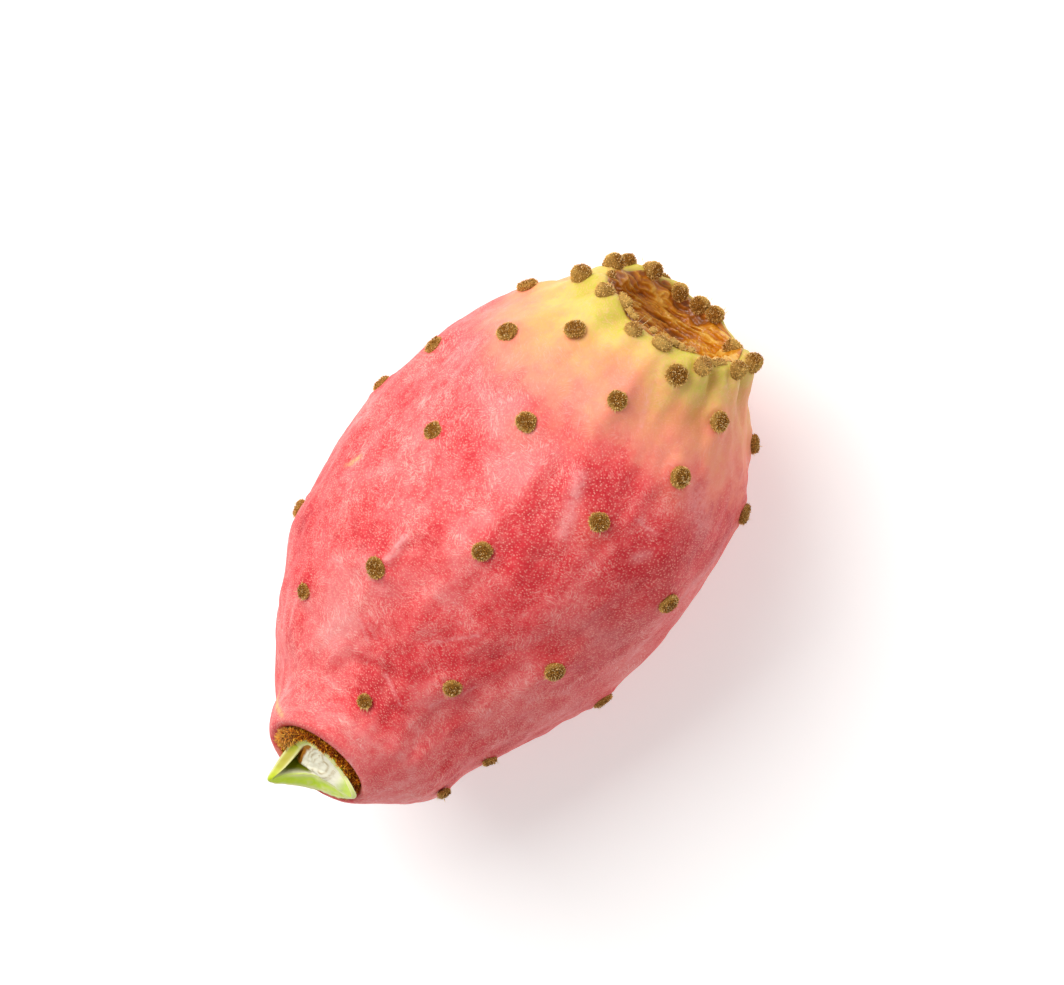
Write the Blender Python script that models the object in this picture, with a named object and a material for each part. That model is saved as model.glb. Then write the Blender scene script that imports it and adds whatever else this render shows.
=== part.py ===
# A prickly pear fruit as picked, lying on its side.
# The berry is one solid: its skin, the felt cushions on it and the sunken crown.
# The dried bed of the flower lines the crown. At the stem end a ring of wool sits round the scar,
# and inside that ring the fruit still carries a slice of the pad that it grew on.
#
# Lengths are in millimetres until MM turns them into metres, and angles are in degrees.
# A place on the berry is (s, r, phi): s runs along the centre line from the stem scar to the crown,
# r leads away from that line, and phi turns round it from the top, growing towards -Y.
import math
import random

import bmesh
import bpy
from mathutils import Matrix, Vector

MM = 0.001
GAP = 0.3                     # kept between pieces that touch

# The berry's profile (s, r), from the middle of the stem scar over the skin into the crown
PROFILE = (
    (1.0, 0.0), (0.9, 4.4), (0.2, 6.0), (-0.9, 6.6), (-1.2, 7.4), (1.3, 9.5), (6.5, 13.4),
    (12.0, 16.5), (20.0, 20.1), (28.0, 22.5), (37.0, 24.0), (46.0, 24.1), (55.0, 23.1),
    (62.0, 20.8), (68.3, 16.9), (72.6, 13.3), (75.2, 11.3), (76.1, 10.2), (75.5, 9.1),
    (73.7, 7.9), (72.4, 5.8), (71.8, 3.0), (71.7, 0.0),
)
LIP_POINT, RIM_POINT = 4, 17   # where the profile turns over the stem's lip and the crown's rim
FINE_STEPS = 24               # between two points of the profile, for measuring along it
ROW_LENGTH = 2.3
COLUMNS = 64

# From its middle the centre line bends up towards the crown, and towards the stem end it bends so
# that the scar looks up as well. The last stretch there is a dome, which turns the scar further.
MIDDLE = 45.0
STEM_TURN, STEM_TURN_TO = 20.0, 14.0
CROWN_TURN, CROWN_TURN_TO = 10.6, 78.0
TURN_EASE = 1.5               # how gently a turn begins
DOME_TURN, DOME_EASE = 24.0, 1.3
SKEW_TOP, SKEW_SIDE = 6.0, 6.0                 # the crown's rim stands further out on top and at -Y
SKEW_FROM, SKEW_TO = 58.0, 75.0
LEAN = 4.0                    # the crown lies this much higher than the stem end
SWELL = ((1.7, 55.0, 14.0), (1.8, 5.5, 5.0))   # fuller on the -Y side: amount, place, spread
SHOULDER = (1.3, 6.5, 7.5)    # fuller on top, behind the stem scar: amount, place, spread
FLAT_DEPTH = 0.36             # how much of the underside the resting spot takes off

# The felt cushions stand in pairs, on opposite sides. Each pair is turned and set on from the last.
PAIR_TURN = 67.83
PAIR_STEP, PAIR_CROWDING = 3.9, 0.1
ALONG_SPREAD, ROUND_SPREAD = 0.8, 4.0          # how far a cushion strays from the rule
FIRST_PAIR, LAST_BODY_PAIR, LAST_PAIR = -9, 11, 19
ZERO_STATION, ZERO_PHI = 43.5, -2.0
# Where a cushion of this fruit sits off that rule: (pair, side): (along, round).
# The last pairs stand on the crown's rim, and their first number is the place across it.
SHIFTS = {
    (-9, 1): (-1.2, -21.0), (-8, 0): (-3.5, 0.0), (-7, 0): (-1.7, 12.0), (-6, 0): (-2.7, 0.0),
    (-5, 0): (-3.3, 3.0), (-4, 0): (2.6, -2.0), (-4, 1): (-3.1, 4.0), (-3, 0): (-2.3, 2.0),
    (-2, 0): (-2.5, 1.0), (0, 0): (-0.3, -0.5), (1, 0): (2.4, -8.5), (1, 1): (-3.8, 17.0),
    (2, 0): (-1.3, 4.5), (3, 0): (1.5, -4.0), (4, 1): (-3.0, 13.0), (4, 0): (3.3, 4.0),
    (5, 0): (-0.6, 3.0), (6, 0): (1.6, -7.0), (7, 0): (-1.2, 15.0), (7, 1): (0.9, -5.0),
    (8, 0): (0.1, 1.0), (9, 0): (0.5, -14.5), (9, 1): (-3.0, 20.0), (10, 0): (-1.6, 9.0),
    (11, 0): (-0.5, -3.5), (11, 1): (1.2, -2.0), (12, 0): (-2.5, 10.0), (12, 1): (-0.6, 2.0),
    (13, 0): (-0.8, 5.0), (13, 1): (-0.2, 9.0), (14, 0): (-0.8, -13.0), (14, 1): (-1.6, 0.0),
    (15, 0): (-0.5, 14.0), (15, 1): (0.6, -9.0), (16, 0): (-0.2, 1.0), (16, 1): (-0.2, 6.0),
    (17, 0): (-0.5, -4.0), (17, 1): (-0.5, 0.0), (18, 0): (0.6, 2.0), (18, 1): (-0.3, 16.0),
    (19, 1): (-0.4, 11.0),
}
LEFT_OUT = {(-9, 0), (-1, 0), (-1, 1), (19, 0)}   # pairs that withered to a mark in the skin
CUSHION_RADIUS, CUSHION_RISE, CUSHION_ROOT = 1.5, 0.95, 0.9
CUSHION_FORM = ((0.98, 0.0), (0.97, 0.45), (0.62, 0.88))   # shares of the radius and of the rise
CUSHION_FOOT = 0.75           # share of the radius at the root
CUSHION_SIDES = 8
STEM_SIZE, STEM_SIZE_TO, FULL_SIZE_FROM = 0.72, 12.0, 26.0   # cushions are smaller by the stem
RIM_SIZE = 0.9                # and on the crown's rim

# Low mounds under the cushions, which run into ridges towards the crown
MOUND_RISE, MOUND_LONG, MOUND_WIDE = 0.45, 4.5, 3.6
RIDGE_RISE, RIDGE_LONG, RIDGE_WIDE = 1.0, 5.5, 1.9
RIDGE_FROM, RIDGE_SOFT = 64.0, 2.5
RIM_INNER_LONG = 1.1          # how fast a ridge ends on the crown's inner side
RELIEF_REACH = 16.0           # past this a mound or ridge is nothing
# Slow unevenness of the skin: (rise, folds round, twist along, phase), fading out at both ends
WAVES = ((0.28, 2, 0.11, 0.6), (0.22, 3, -0.16, 2.1), (0.13, 5, 0.23, 4.0))
WAVES_START, WAVES_STOP, WAVES_SOFT = 4.0, 6.0, 1.5

# The dried bed of the flower follows the crown's hollow
BED_FROM = 2.2                # below the rim, along the profile
BED_THICK = 0.8
BED_FOLD, BED_FOLD_ACROSS, BED_FOLD_TWIST = 0.24, 2.1, 1.3   # rise and turns of its wrinkles
BED_ROWS = 6

# The wool round the stem scar
WOOL_RADIUS, WOOL_THICK, WOOL_FLAT = 5.45, 0.6, 0.95
WOOL_BASE = 0.2               # above the scar's groove
WOOL_UNEVEN = 0.05
WOOL_TUFT, WOOL_TUFT_PHI, WOOL_TUFT_SPREAD = 0.22, -58.0, 26.0
WOOL_COLUMNS, WOOL_SIDES = 48, 8

# The slice of pad, in the scar's own axes: across towards -Y, up along the scar, out of it.
# The outer edge is where its green skin ends, the inner edge is where its cut flesh begins.
SLICE_OUTER = (
    (6.4, 2.0, 2.2), (5.4, 3.4, 2.1), (3.3, 3.5, 1.4), (0.3, 4.3, 1.0), (-2.6, 3.7, 0.9),
    (-4.2, 2.2, 1.2), (-4.5, 0.3, 2.8), (-4.3, -1.3, 4.8), (-3.9, -2.4, 6.3), (-1.0, -4.2, 4.0),
    (1.9, -4.2, 2.3), (4.6, -2.4, 2.1),
)
SLICE_INNER = (
    (5.9, 1.7, 2.5), (5.0, 2.7, 2.2), (3.1, 3.1, 1.6), (0.2, 3.9, 1.2), (-2.3, 3.3, 1.1),
    (-3.0, 2.1, 1.3), (-2.9, 0.8, 2.4), (-3.0, -0.6, 4.3), (-3.5, -2.1, 6.0), (-1.6, -2.6, 3.6),
    (0.6, -1.8, 2.1), (3.2, -1.0, 1.9),
)
SLICE_HOLLOW = (0.2, 0.2, 0.1, 0.05, 0.05, 0.1, 0.9, 2.2, 3.3, 1.6, 0.3, 0.2)   # flesh below its edge
SLICE_FLESH = (0.4, 0.9, 1.3)
SLICE_SHELF = 0.22            # how far the hollow's floor reaches from the edge to the flesh
SLICE_SKIN = 0.5              # below its outer edge, where the slice turns in
SLICE_TURN = 4.5              # and no further out than this
SLICE_NECK, SLICE_FOOT = (4.3, 0.9), (3.9, -0.6)   # radius and height
SLICE_STEPS = 3               # between two points of an edge

TABLE_SIZE = (120.0, 80.0, 20.0)
SEEDS = {"places": 7, "cushions": 11, "wool": 23}


def spline_through(points, spans, closed=False):
    """Centripetal Catmull-Rom points through the given ones, with spans[i] steps after point i."""
    if closed:
        ends = [points[-1], *points, points[0], points[1]]
    else:
        ends = [2 * points[0] - points[1], *points, 2 * points[-1] - points[-2]]
    out = []
    for i, steps in enumerate(spans):
        before, start, end, after = ends[i:i + 4]
        d0 = math.sqrt((start - before).length)
        d1 = math.sqrt((end - start).length)
        d2 = math.sqrt((after - end).length)
        leave = ((start - before) / d0 - (end - before) / (d0 + d1) + (end - start) / d1) * d1
        arrive = ((end - start) / d1 - (after - start) / (d1 + d2) + (after - end) / d2) * d1
        for k in range(steps):
            t = k / steps
            out.append((2 * t**3 - 3 * t**2 + 1) * start + (t**3 - 2 * t**2 + t) * leave
                       + (3 * t**2 - 2 * t**3) * end + (t**3 - t**2) * arrive)
    if not closed:
        out.append(points[-1])
    return out


def hump(distance, spread):
    return math.exp(-(distance / spread) ** 2)


def fade_in(distance, softness):
    return 1 / (1 + math.exp(-distance / softness))


def share_between(value, start, end):
    return min(max((value - start) / (end - start), 0.0), 1.0)


def bend(s):
    """How far the centre line points up at s, in radians."""
    if s < MIDDLE:
        return -math.radians(STEM_TURN) * ((MIDDLE - s) / (MIDDLE - STEM_TURN_TO)) ** TURN_EASE
    return math.radians(CROWN_TURN) * ((s - MIDDLE) / (CROWN_TURN_TO - MIDDLE)) ** TURN_EASE


LINE_START, LINE_END, LINE_STEP = 10.0, 85.0, 0.1


def centre_line():
    """Points of the centre line, from one walk along it; its middle lies along X."""
    points = [Vector((0.0, 0.0))]
    for k in range(round((LINE_END - LINE_START) / LINE_STEP)):
        angle = bend(LINE_START + (k + 0.5) * LINE_STEP)
        points.append(points[-1] + LINE_STEP * Vector((math.cos(angle), math.sin(angle))))
    shift = Vector((MIDDLE, 0.0)) - points[round((MIDDLE - LINE_START) / LINE_STEP)]
    return [p + shift for p in points]


LINE = centre_line()
LEAN_TURN = Matrix.Rotation(math.radians(-LEAN), 3, 'Y')


def on_line(s):
    place = (s - LINE_START) / LINE_STEP
    k = min(int(place), len(LINE) - 2)
    return LINE[k].lerp(LINE[k + 1], place - k)


def sideways(s):
    return sum(amount * hump(s - at, spread) for amount, at, spread in SWELL)


def in_space(s, r, phi):
    """The point at (s, r, phi), with the stem scar near the origin and the crown towards +X."""
    up = r * math.cos(phi)
    across = r * math.sin(phi) + sideways(s)
    skew = share_between(s, SKEW_FROM, SKEW_TO) ** 2
    s += skew * (math.tan(math.radians(SKEW_TOP)) * math.cos(phi)
                 + math.tan(math.radians(SKEW_SIDE)) * math.sin(phi)) * r
    beyond = max(STEM_TURN_TO - s, 0.0)
    tip = math.radians(DOME_TURN) * (beyond / STEM_TURN_TO) ** DOME_EASE
    along = math.sin(tip) * up - math.cos(tip) * beyond
    up = math.cos(tip) * up + math.sin(tip) * beyond
    line = on_line(max(s, STEM_TURN_TO))
    angle = bend(max(s, STEM_TURN_TO))
    x = line.x + math.cos(angle) * along - math.sin(angle) * up
    z = line.y + math.sin(angle) * along + math.cos(angle) * up
    return LEAN_TURN @ Vector((x, -across, z))


class Profile:
    """The berry's profile, walked by its length u."""

    def __init__(self):
        points = [Vector(p) for p in PROFILE]
        lengths = [(b - a).length for a, b in zip(points, points[1:])]
        spans = [max(1, round(length / ROW_LENGTH)) for length in lengths]
        self.fine = spline_through(points, [FINE_STEPS] * len(lengths))
        self.us = [0.0]
        for a, b in zip(self.fine, self.fine[1:]):
            self.us.append(self.us[-1] + (b - a).length)
        self.rim = self.us[FINE_STEPS * RIM_POINT]
        self.lip = self.us[FINE_STEPS * LIP_POINT]
        self.rows = []
        for i, count in enumerate(spans):
            start, end = self.us[FINE_STEPS * i], self.us[FINE_STEPS * (i + 1)]
            self.rows += [start + (end - start) * k / count for k in range(count)]
        self.rows.append(self.us[-1])

    def at(self, u):
        """The profile's point and its outward normal at u."""
        u = min(max(u, 0.0), self.us[-1])
        low, high = 0, len(self.us) - 2
        while low < high:
            mid = (low + high + 1) // 2
            if self.us[mid] <= u:
                low = mid
            else:
                high = mid - 1
        a, b = self.fine[low], self.fine[low + 1]
        along = (b - a).normalized()
        point = a.lerp(b, (u - self.us[low]) / (self.us[low + 1] - self.us[low]))
        return point, Vector((-along.y, along.x))

    def station(self, s):
        """The length u at which the skin passes s."""
        u = self.lip
        while self.at(u)[0].x < s and u < self.rim:
            u += 0.1
        return u


profile = Profile()


def cushion_places():
    """Each cushion's (u, phi) and whether it stands on the crown's rim."""
    draw = random.Random(SEEDS["places"])
    places = []
    for pair in range(FIRST_PAIR, LAST_PAIR + 1):
        on_rim = pair > LAST_BODY_PAIR
        station = ZERO_STATION + PAIR_STEP * pair - PAIR_CROWDING * max(pair, 0) ** 2
        turn = ZERO_PHI + PAIR_TURN * pair
        nearest = turn - 180.0 * round(turn / 180.0)
        for side in (0, 1):
            along = draw.uniform(-ALONG_SPREAD, ALONG_SPREAD)
            round_by = draw.uniform(-ROUND_SPREAD, ROUND_SPREAD)
            if (pair, side) in SHIFTS:
                along, round_by = SHIFTS[pair, side]
            if (pair, side) not in LEFT_OUT:
                u = profile.rim + along if on_rim else profile.station(station + along)
                places.append((u, math.radians(nearest + 180.0 * side + round_by), on_rim))
    return places


cushions = cushion_places()


def turn_between(a, b):
    return (a - b + math.pi) % (2 * math.pi) - math.pi


def relief(u, r, phi):
    """How far the skin stands above the plain profile."""
    point = profile.at(u)[0]
    on_skin = fade_in(u - profile.lip - WAVES_START, WAVES_SOFT)
    on_skin *= fade_in(profile.rim - WAVES_STOP - u, WAVES_SOFT)
    height = 0.0
    for rise, folds, twist, phase in WAVES:
        height += rise * on_skin * math.sin(folds * phi + twist * point.x + phase)
    amount, at, spread = SHOULDER
    height += amount * hump(u - profile.lip - at, spread) * max(math.cos(phi), 0.0) ** 2
    ridge = fade_in(point.x - RIDGE_FROM, RIDGE_SOFT)
    for cushion_u, cushion_phi, on_rim in cushions:
        along = u - cushion_u
        if abs(along) > RELIEF_REACH:
            continue
        share = 1.0 if on_rim else ridge
        rise = MOUND_RISE + share * (RIDGE_RISE - MOUND_RISE)
        wide = MOUND_WIDE + share * (RIDGE_WIDE - MOUND_WIDE)
        long = MOUND_LONG + share * (RIDGE_LONG - MOUND_LONG)
        if u > profile.rim:
            rise *= hump(u - profile.rim, RIM_INNER_LONG)
        across = r * turn_between(phi, cushion_phi)
        height += rise * hump(along, long) * hump(across, wide)
    return height


def skin_point(u, phi, above=0.0):
    point, normal = profile.at(u)
    point = point + normal * (relief(u, point.y, phi) + above)
    return in_space(point.x, max(point.y, 0.0), phi)


def skin_frame(u, phi):
    """The skin's point at (u, phi), with Z out of the skin and X along the fruit."""
    point = skin_point(u, phi)
    reach = 0.4
    along = (skin_point(u + reach, phi) - skin_point(u - reach, phi)).normalized()
    turn = reach / profile.at(u)[0].y
    across = skin_point(u, phi + turn) - skin_point(u, phi - turn)
    out = across.cross(along).normalized()
    return Matrix.Translation(point) @ Matrix((along, out.cross(along), out)).transposed().to_4x4()


def finished(name, bm, material):
    """An object of the mesh, in metres, closed and with its faces outwards."""
    for vertex in bm.verts:
        vertex.co *= MM
    bmesh.ops.recalc_face_normals(bm, faces=bm.faces)
    mesh = bpy.data.meshes.new(name)
    bm.to_mesh(mesh)
    bm.free()
    mesh.shade_smooth()
    piece = bpy.data.objects.new(name, mesh)
    if material:
        mesh.materials.append(material)
    bpy.context.scene.collection.objects.link(piece)
    return piece


def loft(rings, closed_ends=(None, None), looped=False):
    """A mesh through rings of points of equal count, with a pole at each end or joined end to end."""
    bm = bmesh.new()
    rows = [[bm.verts.new(p) for p in ring] for ring in rings]
    count = len(rings[0])
    pairs = list(zip(rows, rows[1:]))
    if looped:
        pairs.append((rows[-1], rows[0]))
    for a, b in pairs:
        for k in range(count):
            n = (k + 1) % count
            bm.faces.new((a[k], a[n], b[n], b[k]))
    for pole, row in zip(closed_ends, (rows[0], rows[-1])):
        if pole is not None:
            tip = bm.verts.new(pole)
            for k in range(count):
                bm.faces.new((row[k], row[(k + 1) % count], tip))
    return bm


def material_of(name, colour, roughness):
    material = bpy.data.materials.new(name)
    material.use_nodes = True
    shader = material.node_tree.nodes["Principled BSDF"]
    shader.inputs["Base Color"].default_value = (*colour, 1.0)
    shader.inputs["Roughness"].default_value = roughness
    shader.inputs["Metallic"].default_value = 0.0
    return material


def turns(count):
    return [2 * math.pi * k / count for k in range(count)]


def cushion_mesh(draw, size):
    """A flattened felt dome on a root, in its own axes."""
    radius = CUSHION_RADIUS * size * draw.uniform(0.92, 1.06)
    rise = CUSHION_RISE * size * draw.uniform(0.85, 1.15)
    oval = draw.uniform(0.9, 1.1)
    phase = draw.uniform(0, math.pi)
    rings = []
    for share, height in ((CUSHION_FOOT, -CUSHION_ROOT), *((s, h * rise) for s, h in CUSHION_FORM)):
        rings.append([Vector((radius * share * oval * math.cos(a + phase),
                              radius * share / oval * math.sin(a + phase), height))
                      for a in turns(CUSHION_SIDES)])
    return loft(rings, (Vector((0, 0, -CUSHION_ROOT)), Vector((0, 0, rise))))


def cushion_size(u, on_rim):
    if on_rim:
        return RIM_SIZE
    return STEM_SIZE + (1 - STEM_SIZE) * share_between(profile.at(u)[0].x, STEM_SIZE_TO, FULL_SIZE_FROM)


def apply_boolean(piece, operation, **operand):
    """A Boolean modifier on the piece, applied at once."""
    modifier = piece.modifiers.new(operation.title(), 'BOOLEAN')
    modifier.operation = operation
    modifier.solver = 'EXACT'
    for key, value in operand.items():
        setattr(modifier, key, value)
    bpy.context.view_layer.objects.active = piece
    bpy.ops.object.modifier_apply(modifier=modifier.name)


def berry():
    """The skin from the stem scar to the crown's floor, with every cushion joined to it."""
    rings = []
    for u in profile.rows[1:-1]:
        rings.append([skin_point(u, phi) for phi in turns(COLUMNS)])
    poles = (skin_point(0.0, 0.0), skin_point(profile.us[-1], 0.0))
    red_skin = material_of("cactus fruit skin", (0.62, 0.11, 0.10), 0.5)
    piece = finished("fruit", loft(rings, poles), red_skin)

    draw = random.Random(SEEDS["cushions"])
    felt = bpy.data.collections.new("cushions")
    for number, (u, phi, on_rim) in enumerate(cushions):
        bm = cushion_mesh(draw, cushion_size(u, on_rim))
        bmesh.ops.transform(bm, matrix=skin_frame(u, phi), verts=bm.verts)
        cushion = finished("cushion_%02d" % number, bm, None)
        bpy.context.scene.collection.objects.unlink(cushion)
        felt.objects.link(cushion)
    apply_boolean(piece, 'UNION', operand_type='COLLECTION', collection=felt)
    for cushion in list(felt.objects):
        bpy.data.objects.remove(cushion)
    bpy.data.collections.remove(felt)
    return piece


def rest_on_table(pieces, fruit):
    """Shaves the resting spot off the underside and brings it to z = 0, with the whole centred on it."""
    level = min(skin_point(u, math.pi).z for u in profile.rows) + FLAT_DEPTH
    bm = bmesh.new()
    bmesh.ops.create_cube(bm, size=1.0)
    bmesh.ops.scale(bm, vec=TABLE_SIZE, verts=bm.verts)
    bmesh.ops.translate(bm, vec=(MIDDLE, 0.0, level - TABLE_SIZE[2] / 2), verts=bm.verts)
    table = finished("table", bm, None)
    table.hide_render = True
    table.display_type = 'WIRE'
    apply_boolean(fruit, 'DIFFERENCE', object=table)
    bpy.data.objects.remove(table)
    corners = [vertex.co for piece in pieces for vertex in piece.data.vertices]
    middle = [(min(c[i] for c in corners) + max(c[i] for c in corners)) / 2 for i in (0, 1)]
    for piece in pieces:
        piece.data.transform(Matrix.Translation((-middle[0], -middle[1], -level * MM)))


def flower_bed():
    """The brown dried bed of the flower: a thin wrinkled dish in the crown's hollow."""
    start = profile.rim + BED_FROM
    end = profile.us[-1]

    def ring(share, height, wrinkled):
        point, normal = profile.at(start + (end - start) * share)
        points = []
        for phi in turns(COLUMNS // 2):
            fold = 0.0
            if wrinkled:
                across = BED_FOLD_ACROSS * point.y * math.cos(phi)
                fold = BED_FOLD * math.sin(across + BED_FOLD_TWIST * math.sin(2 * phi))
                fold *= math.sin(math.pi * share)
            there = point + normal * (height + fold)
            points.append(in_space(there.x, max(there.y, 0.0), phi))
        return points

    shares = [k / BED_ROWS for k in range(BED_ROWS)]
    rings = [ring(share, GAP, False) for share in reversed(shares)]
    rings += [ring(share, GAP + BED_THICK, True) for share in shares]
    floor = profile.at(end)[0].x
    poles = (in_space(floor + GAP, 0.0, 0.0), in_space(floor + GAP + BED_THICK, 0.0, 0.0))
    dry = material_of("dried flower bed", (0.30, 0.13, 0.03), 0.45)
    return finished("flower_bed", loft(rings, poles), dry)


def scar_axes():
    """The stem scar's axes: across, up along the scar and out of it, at the centre line's start."""
    centre = in_space(0.0, 0.0, 0.0)
    across = (in_space(0.0, 1.0, math.pi / 2) - centre).normalized()
    upward = (in_space(0.0, 1.0, 0.0) - centre).normalized()
    out = across.cross(upward).normalized()
    return Matrix.Translation(centre) @ Matrix((across, upward, out)).transposed().to_4x4()


def wool_ring():
    """The brown wool in the groove round the scar, thickest in a tuft at one side."""
    rings = []
    draw = random.Random(SEEDS["wool"])
    for phi in turns(WOOL_COLUMNS):
        tuft = hump(math.degrees(turn_between(phi, math.radians(WOOL_TUFT_PHI))), WOOL_TUFT_SPREAD)
        thick = WOOL_THICK + WOOL_TUFT * tuft + draw.uniform(-WOOL_UNEVEN, WOOL_UNEVEN)
        ring = []
        for a in turns(WOOL_SIDES):
            r = WOOL_RADIUS + thick * WOOL_FLAT * math.cos(a)
            height = WOOL_BASE + thick * (1 + math.sin(a))
            ring.append(Vector((r * math.sin(phi), r * math.cos(phi), height)))
        rings.append(ring)
    bm = loft(rings, looped=True)
    bmesh.ops.transform(bm, matrix=scar_axes(), verts=bm.verts)
    return finished("stem_wool", bm, material_of("brown areole wool", (0.14, 0.07, 0.02), 0.95))


def pad_slice():
    """The slice of pad: green skin outside, cut flesh inside its edge, hollow behind its high corner."""
    outer = [Vector(p) for p in SLICE_OUTER]
    inner = [Vector(p) for p in SLICE_INNER]
    flesh = Vector(SLICE_FLESH)
    neck_radius, neck_height = SLICE_NECK
    foot_radius, foot_height = SLICE_FOOT
    floor, neck, foot, under = [], [], [], []
    for edge, ridge, depth in zip(outer, inner, SLICE_HOLLOW):
        floor.append(ridge.lerp(flesh, SLICE_SHELF) - Vector((0, 0, depth)))
        flat = Vector((edge.x, edge.y, 0))
        neck.append(flat.normalized() * neck_radius + Vector((0, 0, neck_height)))
        foot.append(flat.normalized() * foot_radius + Vector((0, 0, foot_height)))
        inside = flat * min(1.0, SLICE_TURN / flat.length)
        under.append(inside + Vector((0, 0, edge.z - SLICE_SKIN)))
    middle = [place.lerp(flesh, 0.5) for place in floor]
    rings = []
    for ring in (foot, neck, under, outer, inner, floor, middle):
        rings.append(spline_through(ring, [SLICE_STEPS] * len(ring), closed=True))
    bm = loft(rings, (Vector((0, 0, foot_height)), flesh))
    bmesh.ops.transform(bm, matrix=scar_axes(), verts=bm.verts)
    return finished("pad_slice", bm, material_of("cut cactus pad", (0.45, 0.58, 0.08), 0.4))


for old in list(bpy.data.objects):
    bpy.data.objects.remove(old)
fruit = berry()
rest_on_table([fruit, flower_bed(), wool_ring(), pad_slice()], fruit)
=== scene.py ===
# A ripe prickly pear as picked, lying on its side: waxy rind, felted areoles, the dried flower bed
# in its crown, and at the stem end a ring of wool round a slice of the pad that it grew on.
# Sizes are millimetres and degrees. Each mesh is turned into metres when it is finished.
import math
import random

import bpy
import numpy as np
from mathutils import Matrix, Vector, noise


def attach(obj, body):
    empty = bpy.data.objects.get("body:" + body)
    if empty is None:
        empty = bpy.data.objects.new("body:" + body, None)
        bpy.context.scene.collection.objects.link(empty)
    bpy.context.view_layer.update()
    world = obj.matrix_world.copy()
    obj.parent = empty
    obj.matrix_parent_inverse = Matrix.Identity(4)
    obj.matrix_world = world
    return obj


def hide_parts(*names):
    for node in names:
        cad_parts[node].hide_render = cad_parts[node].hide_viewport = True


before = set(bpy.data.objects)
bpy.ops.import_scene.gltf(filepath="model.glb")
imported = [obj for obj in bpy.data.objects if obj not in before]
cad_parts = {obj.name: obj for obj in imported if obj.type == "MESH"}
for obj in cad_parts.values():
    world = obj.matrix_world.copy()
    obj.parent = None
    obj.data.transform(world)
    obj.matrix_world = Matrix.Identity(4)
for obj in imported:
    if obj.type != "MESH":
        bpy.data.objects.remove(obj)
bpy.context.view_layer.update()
mm = 0.001
print("frame loaded:", ", ".join(sorted(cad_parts)))


# The berry's form, the same as the CAD model's

berry = {
    # (s, r): along the centre line from the stem scar, and away from it
    "profile": (
        (1.0, 0.0), (0.9, 4.4), (0.2, 6.0), (-0.9, 6.6), (-1.2, 7.4), (1.3, 9.5), (6.5, 13.4),
        (12.0, 16.5), (20.0, 20.1), (28.0, 22.5), (37.0, 24.0), (46.0, 24.1), (55.0, 23.1),
        (62.0, 20.8), (68.3, 16.9), (72.6, 13.3), (75.2, 11.3), (76.1, 10.2), (75.5, 9.1),
        (73.7, 7.9), (72.4, 5.8), (71.8, 3.0), (71.7, 0.0),
    ),
    "lipPoint": 4, "rimPoint": 17, "fineSteps": 24,
    "lineFrom": 10.0, "lineTo": 85.0, "lineStep": 0.1, "middle": 45.0, "turnEase": 1.5,
    "stemTurn": 20.0, "stemTurnTo": 14.0, "crownTurn": 10.6, "crownTurnTo": 78.0,
    "domeTurn": 24.0, "domeEase": 1.3,
    "skewTop": 6.0, "skewSide": 6.0, "skewFrom": 58.0, "skewTo": 75.0, "lean": 4.0,
    "swell": ((1.7, 55.0, 14.0), (1.8, 5.5, 5.0)), "shoulder": (1.3, 6.5, 7.5),
    "moundRise": 0.45, "moundLong": 4.5, "moundWide": 3.6,
    "ridgeRise": 1.0, "ridgeLong": 5.5, "ridgeWide": 1.9, "ridgeFrom": 64.0, "ridgeSoft": 2.5,
    "rimInnerLong": 1.1,
    "waves": ((0.28, 2, 0.11, 0.6), (0.22, 3, -0.16, 2.1), (0.13, 5, 0.23, 4.0)),
    "wavesStart": 4.0, "wavesStop": 6.0, "wavesSoft": 1.5,
    "restShift": (38.117, -0.1995, -20.697),      # from the form's own start to its place at rest
}


def hump(distance, spread):
    return np.exp(-(distance / spread) ** 2)


def fadeIn(distance, softness):
    return 1 / (1 + np.exp(-distance / softness))


def shareBetween(value, start, end):
    return np.clip((value - start) / (end - start), 0.0, 1.0)


def smoothShare(value, start, end):
    share = shareBetween(value, start, end)
    return share * share * (3 - 2 * share)


def band(value, start, full, end, soft):
    # 0 up to start, 1 from full on, and back to 0 over a softness before end
    return smoothShare(value, start, full) * smoothShare(end - value, 0.0, soft)


def splineThrough(points, steps, closed=False):
    # centripetal Catmull-Rom, with the same number of steps after each point
    points = np.asarray(points, float)
    if closed:
        ends = np.concatenate([points[-1:], points, points[:2]])
    else:
        ends = np.concatenate([[2 * points[0] - points[1]], points, [2 * points[-1] - points[-2]]])
    out = []
    for i in range(len(ends) - 3):
        before, start, end, after = ends[i:i + 4]
        d0, d1, d2 = (math.sqrt(np.linalg.norm(b - a)) for a, b in zip(ends[i:i + 3], ends[i + 1:i + 4]))
        leave = ((start - before) / d0 - (end - before) / (d0 + d1) + (end - start) / d1) * d1
        arrive = ((end - start) / d1 - (after - start) / (d1 + d2) + (after - end) / d2) * d1
        for k in range(steps):
            t = k / steps
            out.append((2 * t**3 - 3 * t**2 + 1) * start + (t**3 - 2 * t**2 + t) * leave
                       + (3 * t**2 - 2 * t**3) * end + (t**3 - t**2) * arrive)
    if not closed:
        out.append(points[-1])
    return np.array(out)


def bend(s):
    # how far the centre line points up at s, in radians
    stemward = np.maximum(berry["middle"] - s, 0.0) / (berry["middle"] - berry["stemTurnTo"])
    crownward = np.maximum(s - berry["middle"], 0.0) / (berry["crownTurnTo"] - berry["middle"])
    return (math.radians(berry["crownTurn"]) * crownward ** berry["turnEase"]
            - math.radians(berry["stemTurn"]) * stemward ** berry["turnEase"])


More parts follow.
